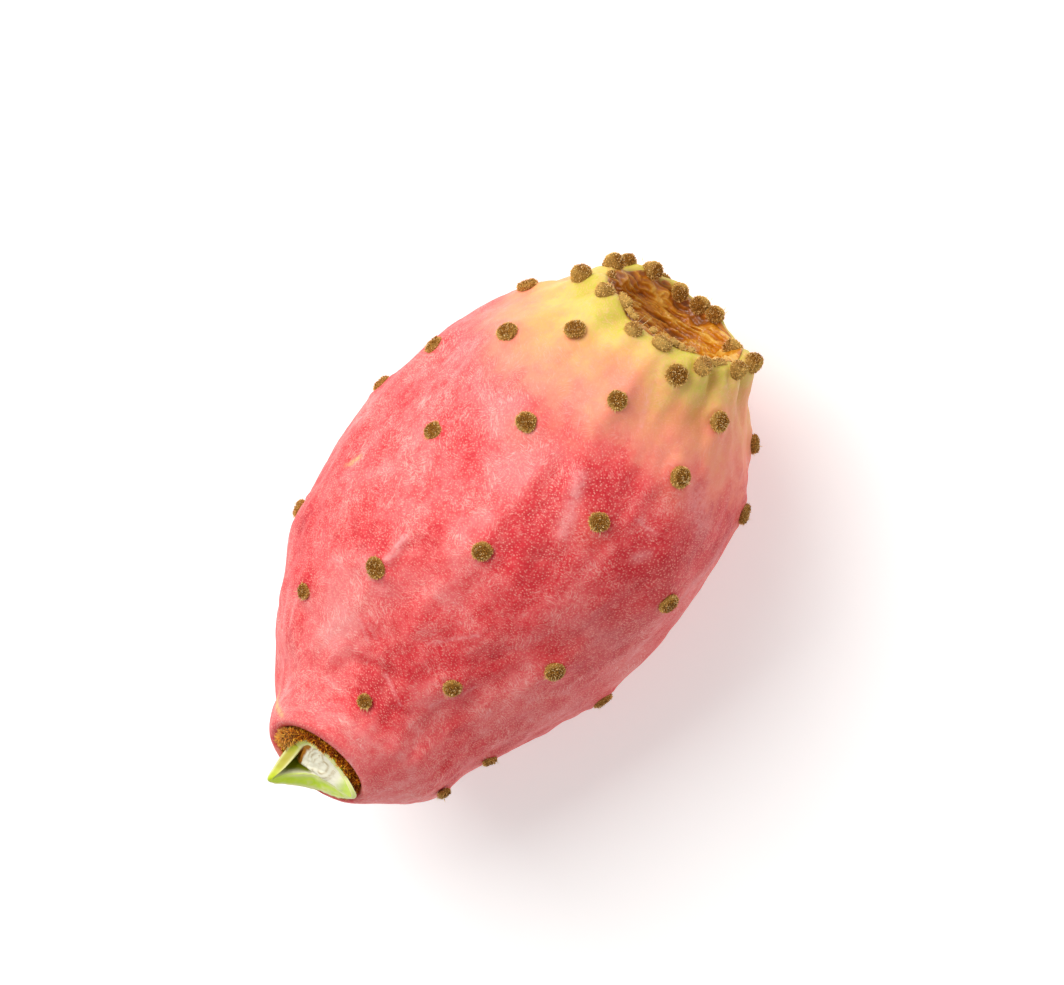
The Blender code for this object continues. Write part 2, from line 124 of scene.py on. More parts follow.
lineStep = berry["lineStep"]
lineAt = np.arange(berry["lineFrom"], berry["lineTo"] + lineStep / 2, lineStep)
lineTurn = bend(lineAt[:-1] + lineStep / 2)
linePoints = np.zeros((len(lineAt), 2))
linePoints[1:, 0] = np.cumsum(lineStep * np.cos(lineTurn))
linePoints[1:, 1] = np.cumsum(lineStep * np.sin(lineTurn))
linePoints += (berry["middle"], 0.0) - linePoints[round((berry["middle"] - berry["lineFrom"]) / lineStep)]
leanTurn = np.array(Matrix.Rotation(math.radians(-berry["lean"]), 3, 'Y'))


def inSpace(s, r, phi):
    # places (s, r, phi) of the berry as points in the frame, in millimetres
    s, r, phi = np.broadcast_arrays(np.asarray(s, float), r, phi)
    up = r * np.cos(phi)
    across = r * np.sin(phi) + sum(a * hump(s - at, spread) for a, at, spread in berry["swell"])
    skew = shareBetween(s, berry["skewFrom"], berry["skewTo"]) ** 2
    s = s + skew * r * (math.tan(math.radians(berry["skewTop"])) * np.cos(phi)
                        + math.tan(math.radians(berry["skewSide"])) * np.sin(phi))
    beyond = np.maximum(berry["stemTurnTo"] - s, 0.0)
    tip = math.radians(berry["domeTurn"]) * (beyond / berry["stemTurnTo"]) ** berry["domeEase"]
    along = np.sin(tip) * up - np.cos(tip) * beyond
    up = np.cos(tip) * up + np.sin(tip) * beyond
    s = np.maximum(s, berry["stemTurnTo"])
    angle = bend(s)
    x = np.interp(s, lineAt, linePoints[:, 0]) + np.cos(angle) * along - np.sin(angle) * up
    z = np.interp(s, lineAt, linePoints[:, 1]) + np.sin(angle) * along + np.cos(angle) * up
    return np.stack([x, -across, z], -1) @ leanTurn.T - berry["restShift"]


profileLine = splineThrough(berry["profile"], berry["fineSteps"])
profileU = np.concatenate([[0.0], np.cumsum(np.linalg.norm(np.diff(profileLine, axis=0), axis=1))])
profileSlope = np.gradient(profileLine, profileU, axis=0)
profileSlope /= np.linalg.norm(profileSlope, axis=1)[:, None]
lipU = profileU[berry["fineSteps"] * berry["lipPoint"]]
rimU = profileU[berry["fineSteps"] * berry["rimPoint"]]
endU = profileU[-1]


def profileAt(u):
    # s, r and the outward normal's two parts at the length u along the profile
    s, r = (np.interp(u, profileU, profileLine[:, i]) for i in (0, 1))
    outS, outR = (np.interp(u, profileU, n) for n in (-profileSlope[:, 1], profileSlope[:, 0]))
    return s, r, outS, outR


# Areoles stand in opposite pairs, each turned and set on from the last, as on the CAD model

areoles = {
    "pairTurn": 67.83, "pairStep": 3.9, "crowding": 0.1, "alongSpread": 0.8, "roundSpread": 4.0,
    "firstPair": -9, "lastBodyPair": 11, "lastPair": 19, "zeroStation": 43.5, "zeroPhi": -2.0,
    # (pair, side): how far this one sits off the rule, along and round
    "shifts": {
        (-9, 1): (-1.2, -21.0), (-8, 0): (-3.5, 0.0), (-7, 0): (-1.7, 12.0), (-6, 0): (-2.7, 0.0),
        (-5, 0): (-3.3, 3.0), (-4, 0): (2.6, -2.0), (-4, 1): (-3.1, 4.0), (-3, 0): (-2.3, 2.0),
        (-2, 0): (-2.5, 1.0), (0, 0): (-0.3, -0.5), (1, 0): (2.4, -8.5), (1, 1): (-3.8, 17.0),
        (2, 0): (-1.3, 4.5), (3, 0): (1.5, -4.0), (4, 1): (-3.0, 13.0), (4, 0): (3.3, 4.0),
        (5, 0): (-0.6, 3.0), (6, 0): (1.6, -7.0), (7, 0): (-1.2, 15.0), (7, 1): (0.9, -5.0),
        (8, 0): (0.1, 1.0), (9, 0): (0.5, -14.5), (9, 1): (-3.0, 20.0), (10, 0): (-1.6, 9.0),
        (11, 0): (-0.5, -3.5), (11, 1): (1.2, -2.0), (12, 0): (-2.5, 10.0), (12, 1): (-0.6, 2.0),
        (13, 0): (-0.8, 5.0), (13, 1): (-0.2, 9.0), (14, 0): (-0.8, -13.0), (14, 1): (-1.6, 0.0),
        (15, 0): (-0.5, 14.0), (15, 1): (0.6, -9.0), (16, 0): (-0.2, 1.0), (16, 1): (-0.2, 6.0),
        (17, 0): (-0.5, -4.0), (17, 1): (-0.5, 0.0), (18, 0): (0.6, 2.0), (18, 1): (-0.3, 16.0),
        (19, 1): (-0.4, 11.0),
    },
    "leftOut": {(-9, 0), (-1, 0), (-1, 1), (19, 0)},
    "radius": 1.5, "rise": 0.95, "stemSize": 0.72, "stemSizeTo": 12.0, "fullSizeFrom": 26.0,
    "rimSize": 0.9, "placeSeed": 7, "sizeSeed": 11,
}


def areolePlaces():
    draw = random.Random(areoles["placeSeed"])
    skinU = np.arange(lipU, rimU, 0.1)
    skinS = profileAt(skinU)[0]
    places = []
    for pair in range(areoles["firstPair"], areoles["lastPair"] + 1):
        onRim = pair > areoles["lastBodyPair"]
        station = areoles["zeroStation"] + areoles["pairStep"] * pair
        station -= areoles["crowding"] * max(pair, 0) ** 2
        turn = areoles["zeroPhi"] + areoles["pairTurn"] * pair
        for side in (0, 1):
            along = draw.uniform(-areoles["alongSpread"], areoles["alongSpread"])
            roundBy = draw.uniform(-areoles["roundSpread"], areoles["roundSpread"])
            along, roundBy = areoles["shifts"].get((pair, side), (along, roundBy))
            if (pair, side) in areoles["leftOut"]:
                continue
            u = rimU + along if onRim else skinU[np.argmax(skinS >= station + along)]
            phi = math.radians(turn - 180.0 * round(turn / 180.0) + 180.0 * side + roundBy)
            places.append((u, phi, onRim))
    return places


places = areolePlaces()


def areoleSize(u, onRim):
    # how large this areole is next to a full one: smaller by the stem and on the rim
    share = shareBetween(profileAt(u)[0], areoles["stemSizeTo"], areoles["fullSizeFrom"])
    return areoles["rimSize"] if onRim else areoles["stemSize"] + (1 - areoles["stemSize"]) * share


def turnBetween(a, b):
    return (a - b + math.pi) % (2 * math.pi) - math.pi


def ridges(u, phi):
    # mounds under the areoles and the ribs that they run into at the crown
    s, r, _, _ = profileAt(u)
    crownward = fadeIn(s - berry["ridgeFrom"], berry["ridgeSoft"])
    height = np.zeros(np.broadcast(u, phi).shape)
    for areoleU, areolePhi, onRim in places:
        share = 1.0 if onRim else crownward
        rise = berry["moundRise"] + share * (berry["ridgeRise"] - berry["moundRise"])
        wide = berry["moundWide"] + share * (berry["ridgeWide"] - berry["moundWide"])
        long = berry["moundLong"] + share * (berry["ridgeLong"] - berry["moundLong"])
        rise = rise * np.where(u > rimU, hump(u - rimU, berry["rimInnerLong"]), 1.0)
        height += rise * hump(u - areoleU, long) * hump(r * turnBetween(phi, areolePhi), wide)
    return height


def relief(u, phi):
    s = profileAt(u)[0]
    onSkin = fadeIn(u - lipU - berry["wavesStart"], berry["wavesSoft"])
    onSkin = onSkin * fadeIn(rimU - berry["wavesStop"] - u, berry["wavesSoft"])
    height = ridges(u, phi)
    for rise, folds, twist, phase in berry["waves"]:
        height += rise * onSkin * np.sin(folds * phi + twist * s + phase)
    amount, at, spread = berry["shoulder"]
    return height + amount * hump(u - lipU - at, spread) * np.maximum(np.cos(phi), 0.0) ** 2


def skinPoint(u, phi, above=0.0):
    s, r, outS, outR = profileAt(u)
    height = relief(u, phi) + above
    return inSpace(s + outS * height, np.maximum(r + outR * height, 0.0), phi)


def skinAxes(u, phi):
    # the skin's point at (u, phi), the way along the fruit there and the way out of the skin
    reach = 0.4
    along = skinPoint(u + reach, phi) - skinPoint(u - reach, phi)
    turn = reach / profileAt(u)[1]
    across = skinPoint(u, phi + turn) - skinPoint(u, phi - turn)
    out = np.cross(across, along)
    return skinPoint(u, phi), along / np.linalg.norm(along), out / np.linalg.norm(out)


# Small makers for meshes, nodes and materials

def finishPiece(piece, nodes):
    # from millimetres to metres, kept above the table, and handed to the frame
    piece.data.transform(Matrix.Scale(mm, 4))
    for vertex in piece.data.vertices:
        vertex.co.z = max(vertex.co.z, 0.0)
    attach(piece, "root")
    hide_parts(*nodes)
    print("made", piece.name, len(piece.data.polygons), "faces")


def pieceOf(name, mesh, material):
    mesh.name = name
    if material:
        mesh.materials.append(material)
    piece = bpy.data.objects.new(name, mesh)
    bpy.context.scene.collection.objects.link(piece)
    return piece


def surfaceOf(name, grid, poles=(None, None), looped=False, values=None, mapOf=None):
    # a mesh over a grid of points (rows, columns), closed round its columns, with values per point
    grid = np.asarray(grid, float)
    rowCount, columnCount = grid.shape[:2]
    points = grid.reshape(-1, 3)
    lower = np.arange(rowCount if looped else rowCount - 1)[:, None]
    column = np.arange(columnCount)[None, :]
    nextRow, nextColumn = (lower + 1) % rowCount, (column + 1) % columnCount
    faces = np.stack([lower * columnCount + column, lower * columnCount + nextColumn,
                      nextRow * columnCount + nextColumn, nextRow * columnCount + column], -1)
    faces = faces.reshape(-1, 4).tolist()
    around = [((i, j), (i, j + 1), (i + 1, j + 1), (i + 1, j))
              for i in range(len(lower)) for j in range(columnCount)]
    for pole, row in zip(poles, (0, rowCount - 1)):
        if pole is None:
            continue
        points = np.concatenate([points, [pole]])
        for j in range(columnCount):
            a, b = row * columnCount + j, row * columnCount + (j + 1) % columnCount
            pair = [(a, (row, j)), (b, (row, j + 1))]
            if row == 0:
                pair.reverse()
            faces.append([pair[0][0], pair[1][0], len(points) - 1])
            around.append((pair[0][1], pair[1][1], (row, j + 0.5)))
    mesh = bpy.data.meshes.new(name)
    mesh.from_pydata(points.tolist(), [], faces)
    for label, value in (values or {}).items():
        value = np.asarray(value, float).reshape(-1)
        tail = [value[:columnCount].mean()] * (poles[0] is not None)
        tail += [value[-columnCount:].mean()] * (poles[1] is not None)
        layer = mesh.attributes.new(label, 'FLOAT', 'POINT')
        layer.data.foreach_set("value", np.concatenate([value, tail]))
    if mapOf is not None:
        spots = np.array([spot for face in around for spot in face], float)
        mesh.uv_layers.new(name="skinMap").data.foreach_set("uv", mapOf(spots[:, 0], spots[:, 1]).ravel())
    mesh.validate()
    mesh.shade_smooth()
    return mesh


def addNode(tree, kind, feeds=None, output=0, **settings):
    # a node with its settings, fed with plain values or other nodes' outputs, as one of its own outputs
    node = tree.nodes.new(kind)
    for key, value in settings.items():
        setattr(node, key, value)
    for key, value in (feeds or {}).items():
        if isinstance(value, bpy.types.NodeSocket):
            tree.links.new(value, node.inputs[key])
        else:
            node.inputs[key].default_value = value
    return node.outputs[output] if node.outputs else None


def linear(code):
    # an sRGB hex colour as the linear one that shaders work in
    parts = [int(code[i:i + 2], 16) / 255 for i in (1, 3, 5)]
    return (*(c / 12.92 if c <= 0.04045 else ((c + 0.055) / 1.055) ** 2.4 for c in parts), 1.0)


def startMaterial(name, **steady):
    # a material and its shader, with what is the same all over it set on the shader's own sockets
    material = bpy.data.materials.new(name)
    material.use_nodes = True
    shader = material.node_tree.nodes["Principled BSDF"]
    for label, value in steady.items():
        shader.inputs[label.replace("_", " ")].default_value = value
    return material, material.node_tree, shader


def feedShader(tree, shader, feeds):
    for label, socket in feeds.items():
        tree.links.new(socket, shader.inputs[label])


def perMetre(size):
    # the scale of a texture whose features are this many millimetres apart
    return 1000.0 / size


def worked(tree, value, *steps, clamped=False):
    # a value taken through steps of arithmetic, each an operation and what it works with
    for operation, *others in steps:
        value = addNode(tree, "ShaderNodeMath", dict(enumerate((value, *others))), operation=operation)
    value.node.use_clamp = clamped
    return value


def cloud(tree, at, size, low, high, detail=3.0, top=1.0):
    # soft patches this many millimetres wide: 0 where the noise is under low, top where it is over high
    fog = addNode(tree, "ShaderNodeTexNoise", {"Vector": at, "Scale": perMetre(size), "Detail": detail})
    return addNode(tree, "ShaderNodeMapRange", {"Value": fog, "From Min": low, "From Max": high,
                   "To Max": top}, interpolation_type='SMOOTHSTEP')


def shaded(tree, share, *stops):
    # a colour for each share from 0 to 1, blended between the stops' hex colours
    shades = addNode(tree, "ShaderNodeValToRGB", {"Fac": share})
    marks = shades.node.color_ramp.elements
    while len(marks) < len(stops):
        marks.new(0.5)
    for mark, (at, code) in zip(marks, stops):
        mark.position, mark.color = at, linear(code)
    return shades


def layered(tree, colour, *layers):
    # each layer's colour over the last one, by its share
    for share, tint in layers:
        tint = linear(tint) if isinstance(tint, str) else tint
        colour = addNode(tree, "ShaderNodeMix", {0: share, 6: colour, 7: tint}, 2, data_type='RGBA')
    return colour


def readValues(tree, *labels):
    # the values that the piece's own mesh carries under these labels
    return [addNode(tree, "ShaderNodeAttribute", None, "Fac", attribute_name=label) for label in labels]


def grownMesh(name, source, tree, sizes):
    # the source as Geometry Nodes grow it, as a plain mesh
    grower = source.modifiers.new(name, 'NODES')
    grower.node_group = tree
    for item in tree.interface.items_tree:
        if item.item_type == 'SOCKET' and item.in_out == 'INPUT' and item.name in sizes:
            grower[item.identifier] = sizes[item.name]
    source.update_tag()
    depsgraph = bpy.context.evaluated_depsgraph_get()
    mesh = bpy.data.meshes.new_from_object(source.evaluated_get(depsgraph),
                                           preserve_all_data_layers=True, depsgraph=depsgraph)
    source.modifiers.clear()
    return mesh


def startTree(name, sizes):
    # a Geometry Nodes tree with a named input for each size
    tree = bpy.data.node_groups.new(name, 'GeometryNodeTree')
    tree.interface.new_socket("Geometry", in_out='INPUT', socket_type='NodeSocketGeometry')
    kinds = {int: 'NodeSocketInt', float: 'NodeSocketFloat', bpy.types.Object: 'NodeSocketObject'}
    for label, value in sizes.items():
        tree.interface.new_socket(label, in_out='INPUT', socket_type=kinds[type(value)])
    tree.interface.new_socket("Geometry", in_out='OUTPUT', socket_type='NodeSocketGeometry')
    return tree, addNode(tree, "NodeGroupInput").node.outputs


def lumpsOver(points, size, stretch=(1.0, 1.0, 1.0), fade=0.8, finer=2.0):
    # rolling noise at each point of a grid, in lumps of this size
    return np.array([[noise.fractal(Vector(p / size * stretch), fade, finer, 3) for p in row]
                     for row in points])


# The rind: smooth and waxy, in pinks and reds that turn peach and then yellow towards the crown

rind = {
    # rows of the mesh at the scar, on the skin and in the cup: from, to, and their number or spacing
    "scarRows": (0.4, -1.2, 12), "skinRows": (-0.8, 1.6, 0.34), "cupRows": (2.0, -0.4, 18), "columns": 288,
    # a soft collar round each areole, with a warmer patch behind it and a redder one ahead of it
    "collarRise": 0.14, "collarAt": 1.8, "collarWide": 0.5, "rimCollar": 0.4, "haloBehind": 1.6,
    "haloWide": 2.6, "haloFrom": -32.0, "haloFull": -14.0, "redAhead": 1.5, "redWide": 2.1, "redShare": 0.45,
    "dentRise": 0.55, "dentSize": 9.0, "dentLong": 0.55, "dentEnds": (2.0, 8.0),
    "dentMore": (0.5, 18.0, 14.0), "grainRise": 0.035, "grainSize": 1.6,
    # folds and hollows pressed into the skin: from (u, phi) to (u, phi), width and rise
    "folds": (((50.2, -22.3), (45.4, -21.7), 0.6, 0.4), ((51.0, -18.5), (45.0, -18.5), 1.0, -0.3),
              ((20.3, -25), (25.7, -15), 1.5, -0.35), ((25.7, -15), (28.1, 0), 1.5, -0.35),
              ((28.1, 0), (23.9, 12), 1.4, -0.3), ((30.5, -8), (24.5, 9), 0.8, 0.15),
              ((44, -11), (31, -6), 2.2, -0.25), ((28.7, -50), (21.5, -47), 1.4, -0.25),
              ((74, 4), (65, 11), 1.2, 0.2), ((73, -2), (64, 4), 1.6, -0.2), ((80, 33), (70, 33), 1.6, -0.3),
              ((82, 47), (72, 49), 1.6, -0.3), ((41, -60), (34, -62), 1.8, -0.3)),
    # creases between the lobes of the crown: (phi, how far below the rim they end, depth, width)
    "creases": ((29, 8.0, 0.3, 0.8), (48, 6.5, 0.85, 0.85), (61, 4.5, 0.45, 0.6), (80, 7.0, 0.5, 1.0),
                (-27, 5.0, 0.2, 0.9), (-64, 6.0, 0.35, 1.0), (117, 6.0, 0.5, 0.9), (146, 7.0, 0.5, 1.0),
                (179, 5.0, 0.35, 0.9), (-149, 6.0, 0.5, 1.0), (-121, 6.0, 0.4, 0.9), (-95, 7.0, 0.5, 1.0)),
    "creaseFrom": (-0.3, 1.2), "creaseSoft": 0.7, "scuffMost": 0.9,
    # the rim's near lip, worn lower
    "dip": 0.85, "dipWide": 1.6, "dipAt": -14.0, "dipSpread": 34.0,
    # healed scratches: from (u, phi) to (u, phi), width and strength
    "scuffs": (((50.8, -58.6), (52.6, -57.0), 0.3, 0.9), ((49.9, -60.0), (51.0, -58.2), 0.2, 0.7),
               ((9.4, -66.0), (11.6, -82.0), 0.45, 0.8), ((11.6, -82.0), (15.0, -92.0), 0.4, 0.8)),
    # where the colour is deeper or paler: (s, phi, long, wide, amount), in millimetres; the broad ones at
    # (38, -62) and (64, 80), on the left and right edges, are painted shade
    "flushesAndShade": (
        (48.5, 4, 5.5, 3.8, 1.0), (58, 10, 5, 4, 0.5), (26, 4, 5, 4, 0.4), (12, 1, 4.5, 4, 0.9),
        (61, 21, 4.5, 3.5, 0.45), (54, 33, 5, 4, 0.45), (42, 16, 4, 3.5, 0.4), (28, 25, 4.5, 4, 0.5),
        (31, -42, 4, 4, 0.35), (16, -7, 3, 3, 0.3), (69, 48, 4, 4, 0.3), (50.5, -1, 3, 3, 0.6),
        (46, 8, 3, 2.5, 0.4), (61, 57, 4, 3, 0.4), (54, 32, 3, 3, 0.4), (11, 2, 3, 3, 0.5),
        (25, -66, 4, 4, 0.4), (40, -6, 2.5, 2.5, -0.5), (37, -47, 4, 3.5, -0.3), (58, -26, 4, 4, -0.4),
        (51, -34, 2.5, 2.5, 0.4), (46, -42, 3.5, 3.5, -0.6), (51, -32, 3, 3, -0.3), (52, -8, 2.5, 2.5, -0.8),
        (47, -7, 2, 2, -0.5), (22, -30, 5, 4, -0.4), (16, -25, 4, 3, -0.4), (50, 15, 2.5, 2.5, -0.1),
        (24, 38, 4, 3, -0.4), (16, 18, 3.5, 3, -0.9), (49, -25, 3, 3, -0.45), (58, 15, 3.5, 3, 0.5),
        (38, -62, 17, 6, 0.35), (44, 42, 20, 8, 0.2), (18, -3, 8, 3.5, 0.35), (32, -36, 6, 5, 0.3),
        (50, -32, 3, 3, 0.35), (42, 16, 4, 4, -0.2), (49, 45, 4, 3, 0.3), (34, 12, 3, 2.5, 0.2),
        (10, 25, 3, 3, -0.4), (61, 56, 5, 4, 0.5), (42, 42, 3, 3, 0.4), (37, 56, 4, 4, 0.3),
        (20, -12, 2.5, 2.5, 0.3), (55, 46, 6, 4, 0.6), (64, 80, 9, 6, 1.1), (24, -64, 6, 4, 0.4),
        (52, -30, 5, 3, 0.2), (33, 24, 6, 4, 0.3), (15, 18, 3, 4, 0.3), (35, 58, 7, 4, 0.3),
        (19, -28, 5.5, 4.5, -0.8), (35, 0, 4.5, 3.5, -0.6), (57, -15, 4, 3, -0.9), (46, -10, 4, 2.5, -0.4),
        (42, -33, 6, 4, -0.4), (44, 34, 7, 4, -0.3), (4, 24, 5, 7, -0.6), (34, -53, 5, 4, -0.5),
        (58, -42, 6, 6, -0.3), (20, -8, 3.5, 3, -0.4), (28, -36, 5, 4, -0.3),
    ),
    # where bloom was rubbed off or scratched: from (u, phi) to (u, phi), width and strength
    "rubs": (
        ((73.0, 5), (65.5, 11), 1.0, 0.75), ((50.2, -22.3), (45.4, -21.7), 0.45, 1.2),
        ((78.0, 50), (75.0, 56), 2.0, 0.6), ((70.0, 78), (66.0, 68), 1.7, 0.5),
        ((67.7, 35), (68.9, 38), 0.7, 0.6), ((56.0, 40), (54.5, 52), 2.2, 0.35),
        ((40.7, -18), (43.1, -28), 1.8, 0.5), ((26.0, -30), (32.0, -27), 1.8, 0.5),
        ((37.7, 5), (44.9, 15), 0.22, 0.7), ((27.5, 0), (25.1, 12), 0.24, 0.8),
        ((28.1, 22), (37.1, 30), 0.24, 0.5), ((28.1, -55), (22.7, -60), 0.2, 0.7),
        ((72.5, 28), (71.9, 38), 0.2, 0.8), ((73.0, 30), (70.9, 36), 0.16, 0.6),
        ((33.0, -20), (30.0, -12), 0.18, 0.6), ((34.5, -19), (31.6, -10), 0.16, 0.6),
        ((76.0, 42), (79.0, 38), 0.18, 0.7), ((50.0, 30), (57.0, 34), 0.22, 0.4),
        ((88.0, 12), (83.0, 16), 0.3, 0.5), ((62.0, -45), (66.0, -40), 0.2, 0.5),
    ),
    # how far below the rim the crown's yellow starts, with more or less of it at (phi, spread, amount)
    "crownLong": 22.0, "crownMore": ((-52, 34, 3.0), (14, 20, -1.5)), "crownUnder": 1.5,
    # where that yellow comes further down or less far: (s, phi, long, wide, amount)
    "ripens": ((70, 22, 3, 2.5, 2.5), (66, -2, 3, 2.5, 1.5), (71, 3, 2.5, 3.5, -3.0), (71, 50, 3, 4, -2.5),
               (72, 75, 4, 6, -3.0), (65, -4, 3.5, 4, 2.0), (75, 36, 2.5, 3, 2.5), (57, -15, 3, 3, 2.5),
               (70, -5, 3, 3, -2.5), (71.5, 12, 2.0, 2.0, 1.5), (74, 44, 3, 4, 2.0)),
    # ochre where the skin lies low between the crown's ribs and in its creases, partly the rind's own colour
    # and partly painted shade: its band below the rim, (phi, spread), and off the ribs
    "valleyBelow": (0.3, 3.0, 11.0, 6.0), "valleyAt": (46.0, 32.0), "valleyOffRib": (0.7, 0.5),
    "valleyShare": 0.8, "creaseShadeShare": 0.4, "cupFrom": 0.1, "cupFull": 0.7,
    # painted shade on the right flank, away from the key light: (s, phi, long, wide, amount)
    "paintedFlankShade": ((43, 52, 10, 7, 0.7), (22, 62, 10, 8, 0.4)),
}


def patches(s, r, phi, spots):
    total = np.zeros(np.broadcast(s, phi).shape)
    for at, turn, long, wide, amount in spots:
        total += amount * hump(s - at, long) * hump(r * turnBetween(phi, math.radians(turn)), wide)
    return total


def rindMaterial():
    # waxy cactus rind: a soft broad gloss over flesh that lets a little light in
    material, tree, shader = startMaterial("waxyCactusRind", Specular_IOR_Level=0.25, Subsurface_Weight=0.08,
                                           Subsurface_Scale=0.001, Subsurface_Radius=(1.0, 0.35, 0.2))
    place = addNode(tree, "ShaderNodeTexCoord", None, "Object")
    flat = addNode(tree, "ShaderNodeUVMap", uv_map="skinMap")
    lengthways = addNode(tree, "ShaderNodeMapping", {"Vector": flat, "Scale": (0.75, 1.0, 1.0)})
    flushAndShade, paintedFlankShade, crown, valley, halo, cup, scuff, rub = readValues(
        tree, "flushAndShade", "paintedFlankShade", "crown", "valley", "halo", "cup", "scuff", "rub")

    def blotched(value, *blotches):
        # the value a little higher and lower in patches: where, how wide, how much
        for at, size, amount in blotches:
            patch = worked(tree, cloud(tree, at, size, 0.3, 0.7), ('SUBTRACT', 0.5), ('MULTIPLY', amount))
            value = worked(tree, value, ('ADD', patch))
        return value

    def wobbled(size, by):
        # the flat map pushed about, so that a pattern on it runs unevenly
        push = addNode(tree, "ShaderNodeTexNoise", {"Vector": flat, "Scale": perMetre(size), "Detail": 1.0},
                       "Color")
        push = addNode(tree, "ShaderNodeVectorMath", {0: push, "Scale": by * mm}, operation='SCALE')
        return addNode(tree, "ShaderNodeVectorMath", {0: flat, 1: push}, operation='ADD')

    # deeper where the rind is redder, and on the left and right edges where painted shade is laid in
    deeper = blotched(worked(tree, flushAndShade, ('MULTIPLY', 0.5), ('ADD', 0.38)),
                      (place, 13.0, 0.26), (lengthways, 4.5, 0.34), (lengthways, 1.4, 0.26))
    body = shaded(tree, deeper, (0.0, "#f47a7a"), (0.35, "#ee575a"), (0.62, "#e2373f"), (1.0, "#ce222f"))
    ripeness = blotched(crown, (place, 5.0, 0.16), (place, 1.3, 0.07))
    yellowing = shaded(tree, ripeness, (0.25, "#f36a5e"), (0.45, "#f88e74"), (0.62, "#f8a270"),
                       (0.76, "#f0b468"), (0.87, "#e8c468"), (0.95, "#dfc75a"), (1.0, "#d2c446"))
    crownShare = addNode(tree, "ShaderNodeMapRange", {"Value": ripeness, "From Min": 0.08, "From Max": 0.45},
                         interpolation_type='SMOOTHSTEP')
    onBody = worked(tree, 1.0, ('SUBTRACT', worked(tree, crownShare, ('MULTIPLY', 0.55))))

    # pale cork specks about 0.4 mm apart, no two alike, with worn lines between them
    cells = addNode(tree, "ShaderNodeTexVoronoi", {"Vector": wobbled(0.4, 0.14), "Scale": perMetre(0.42)},
                    voronoi_dimensions='2D')
    unlike = addNode(tree, "ShaderNodeSeparateColor", {0: cells.node.outputs["Color"]})
    unlike = worked(tree, unlike, ('MULTIPLY', 0.65), ('ADD', 0.22))
    dot = addNode(tree, "ShaderNodeMapRange", {"Value": cells, "From Min": 0.36, "From Max": 0.08},
                  interpolation_type='SMOOTHSTEP')
    paler = worked(tree, 1.1, ('SUBTRACT', deeper), ('MULTIPLY', 1.3))      # bloom is thickest on pale rind
    worm = worked(tree, cloud(tree, flat, 0.38, 0.5, 0.66, detail=2.0, top=0.26), ('MULTIPLY', paler))
    patchy = worked(tree, cloud(tree, place, 3.5, 0.3, 0.7, top=0.3), ('ADD', 0.65))
    speckShare = worked(tree, dot, ('MULTIPLY', unlike), ('MAXIMUM', worm), ('MULTIPLY', patchy),
                        ('MULTIPLY', onBody))

    # a whitish bloom, cloudy and rubbed into short strokes that lie four ways
    bloom = worked(tree, cloud(tree, place, 0.9, 0.44, 0.8, detail=6.0, top=0.24),
                   ('ADD', cloud(tree, place, 5.0, 0.5, 0.78, top=0.14)))
    bent = wobbled(3.0, 1.6)
    strokes = []
    for angle, size in ((35.0, 0.13), (-30.0, 0.16), (82.0, 0.12), (-64.0, 0.15)):
        turned = addNode(tree, "ShaderNodeMapping", {"Vector": bent, "Rotation": (0, 0, math.radians(angle)),
                         "Location": (angle * mm, 0, 0), "Scale": (11.0, 1.0, 1.0)}, vector_type='TEXTURE')
        strokes.append(worked(tree, cloud(tree, turned, size, 0.57, 0.68, detail=1.0),
                              ('MULTIPLY', cloud(tree, place, 24.0 * size, 0.5, 0.64, detail=1.0))))
    stroke = worked(tree, strokes[0], ('MAXIMUM', strokes[1]),
                    ('MAXIMUM', worked(tree, strokes[2], ('MAXIMUM', strokes[3]))),
                    ('MULTIPLY', worked(tree, paler, ('MULTIPLY', 0.55))), ('MULTIPLY', onBody))
    rubbed = worked(tree, rub, ('MULTIPLY', cloud(tree, place, 0.55, 0.15, 0.65, detail=5.0, top=0.75)))

    # the rind's colours and marks in layers, the first a painted shade that dulls the right flank
    colour = layered(tree, body, (worked(tree, paintedFlankShade, ('MULTIPLY', 0.35)), "#a83c3c"),
                     (worked(tree, halo, ('MULTIPLY', 0.35)), "#f59068"), (crownShare, yellowing),
                     (worked(tree, valley, ('MULTIPLY', 0.7)), "#bc7e14"), (bloom, "#f88e84"),
                     (stroke, "#ffc0b4"), (speckShare, "#ffb09e"), (rubbed, "#fab0ac"),
                     (worked(tree, scuff, ('MULTIPLY', cloud(tree, place, 0.7, 0.3, 0.5))), "#dcb870"),
                     (cup, "#94520e"))
    height = worked(tree, speckShare, ('MULTIPLY', 0.5),
                    ('ADD', cloud(tree, place, 0.8, 0.2, 0.8, detail=4.0)))
    bump = addNode(tree, "ShaderNodeBump", {"Height": height, "Strength": 0.5, "Distance": 0.07 * mm})
    gloss = worked(tree, cloud(tree, place, 2.4, 0.3, 0.7, top=0.14), ('ADD', 0.44))
    feedShader(tree, shader, {"Base Color": colour, "Roughness": gloss, "Normal": bump})
    return material


def rimDip(u, phi):
    # the crown's near lip is worn a little lower than the rest of its rim
    near = hump(np.degrees(phi) - rind["dipAt"], rind["dipSpread"])
    return rind["dip"] * hump(u - rimU, rind["dipWide"]) * near


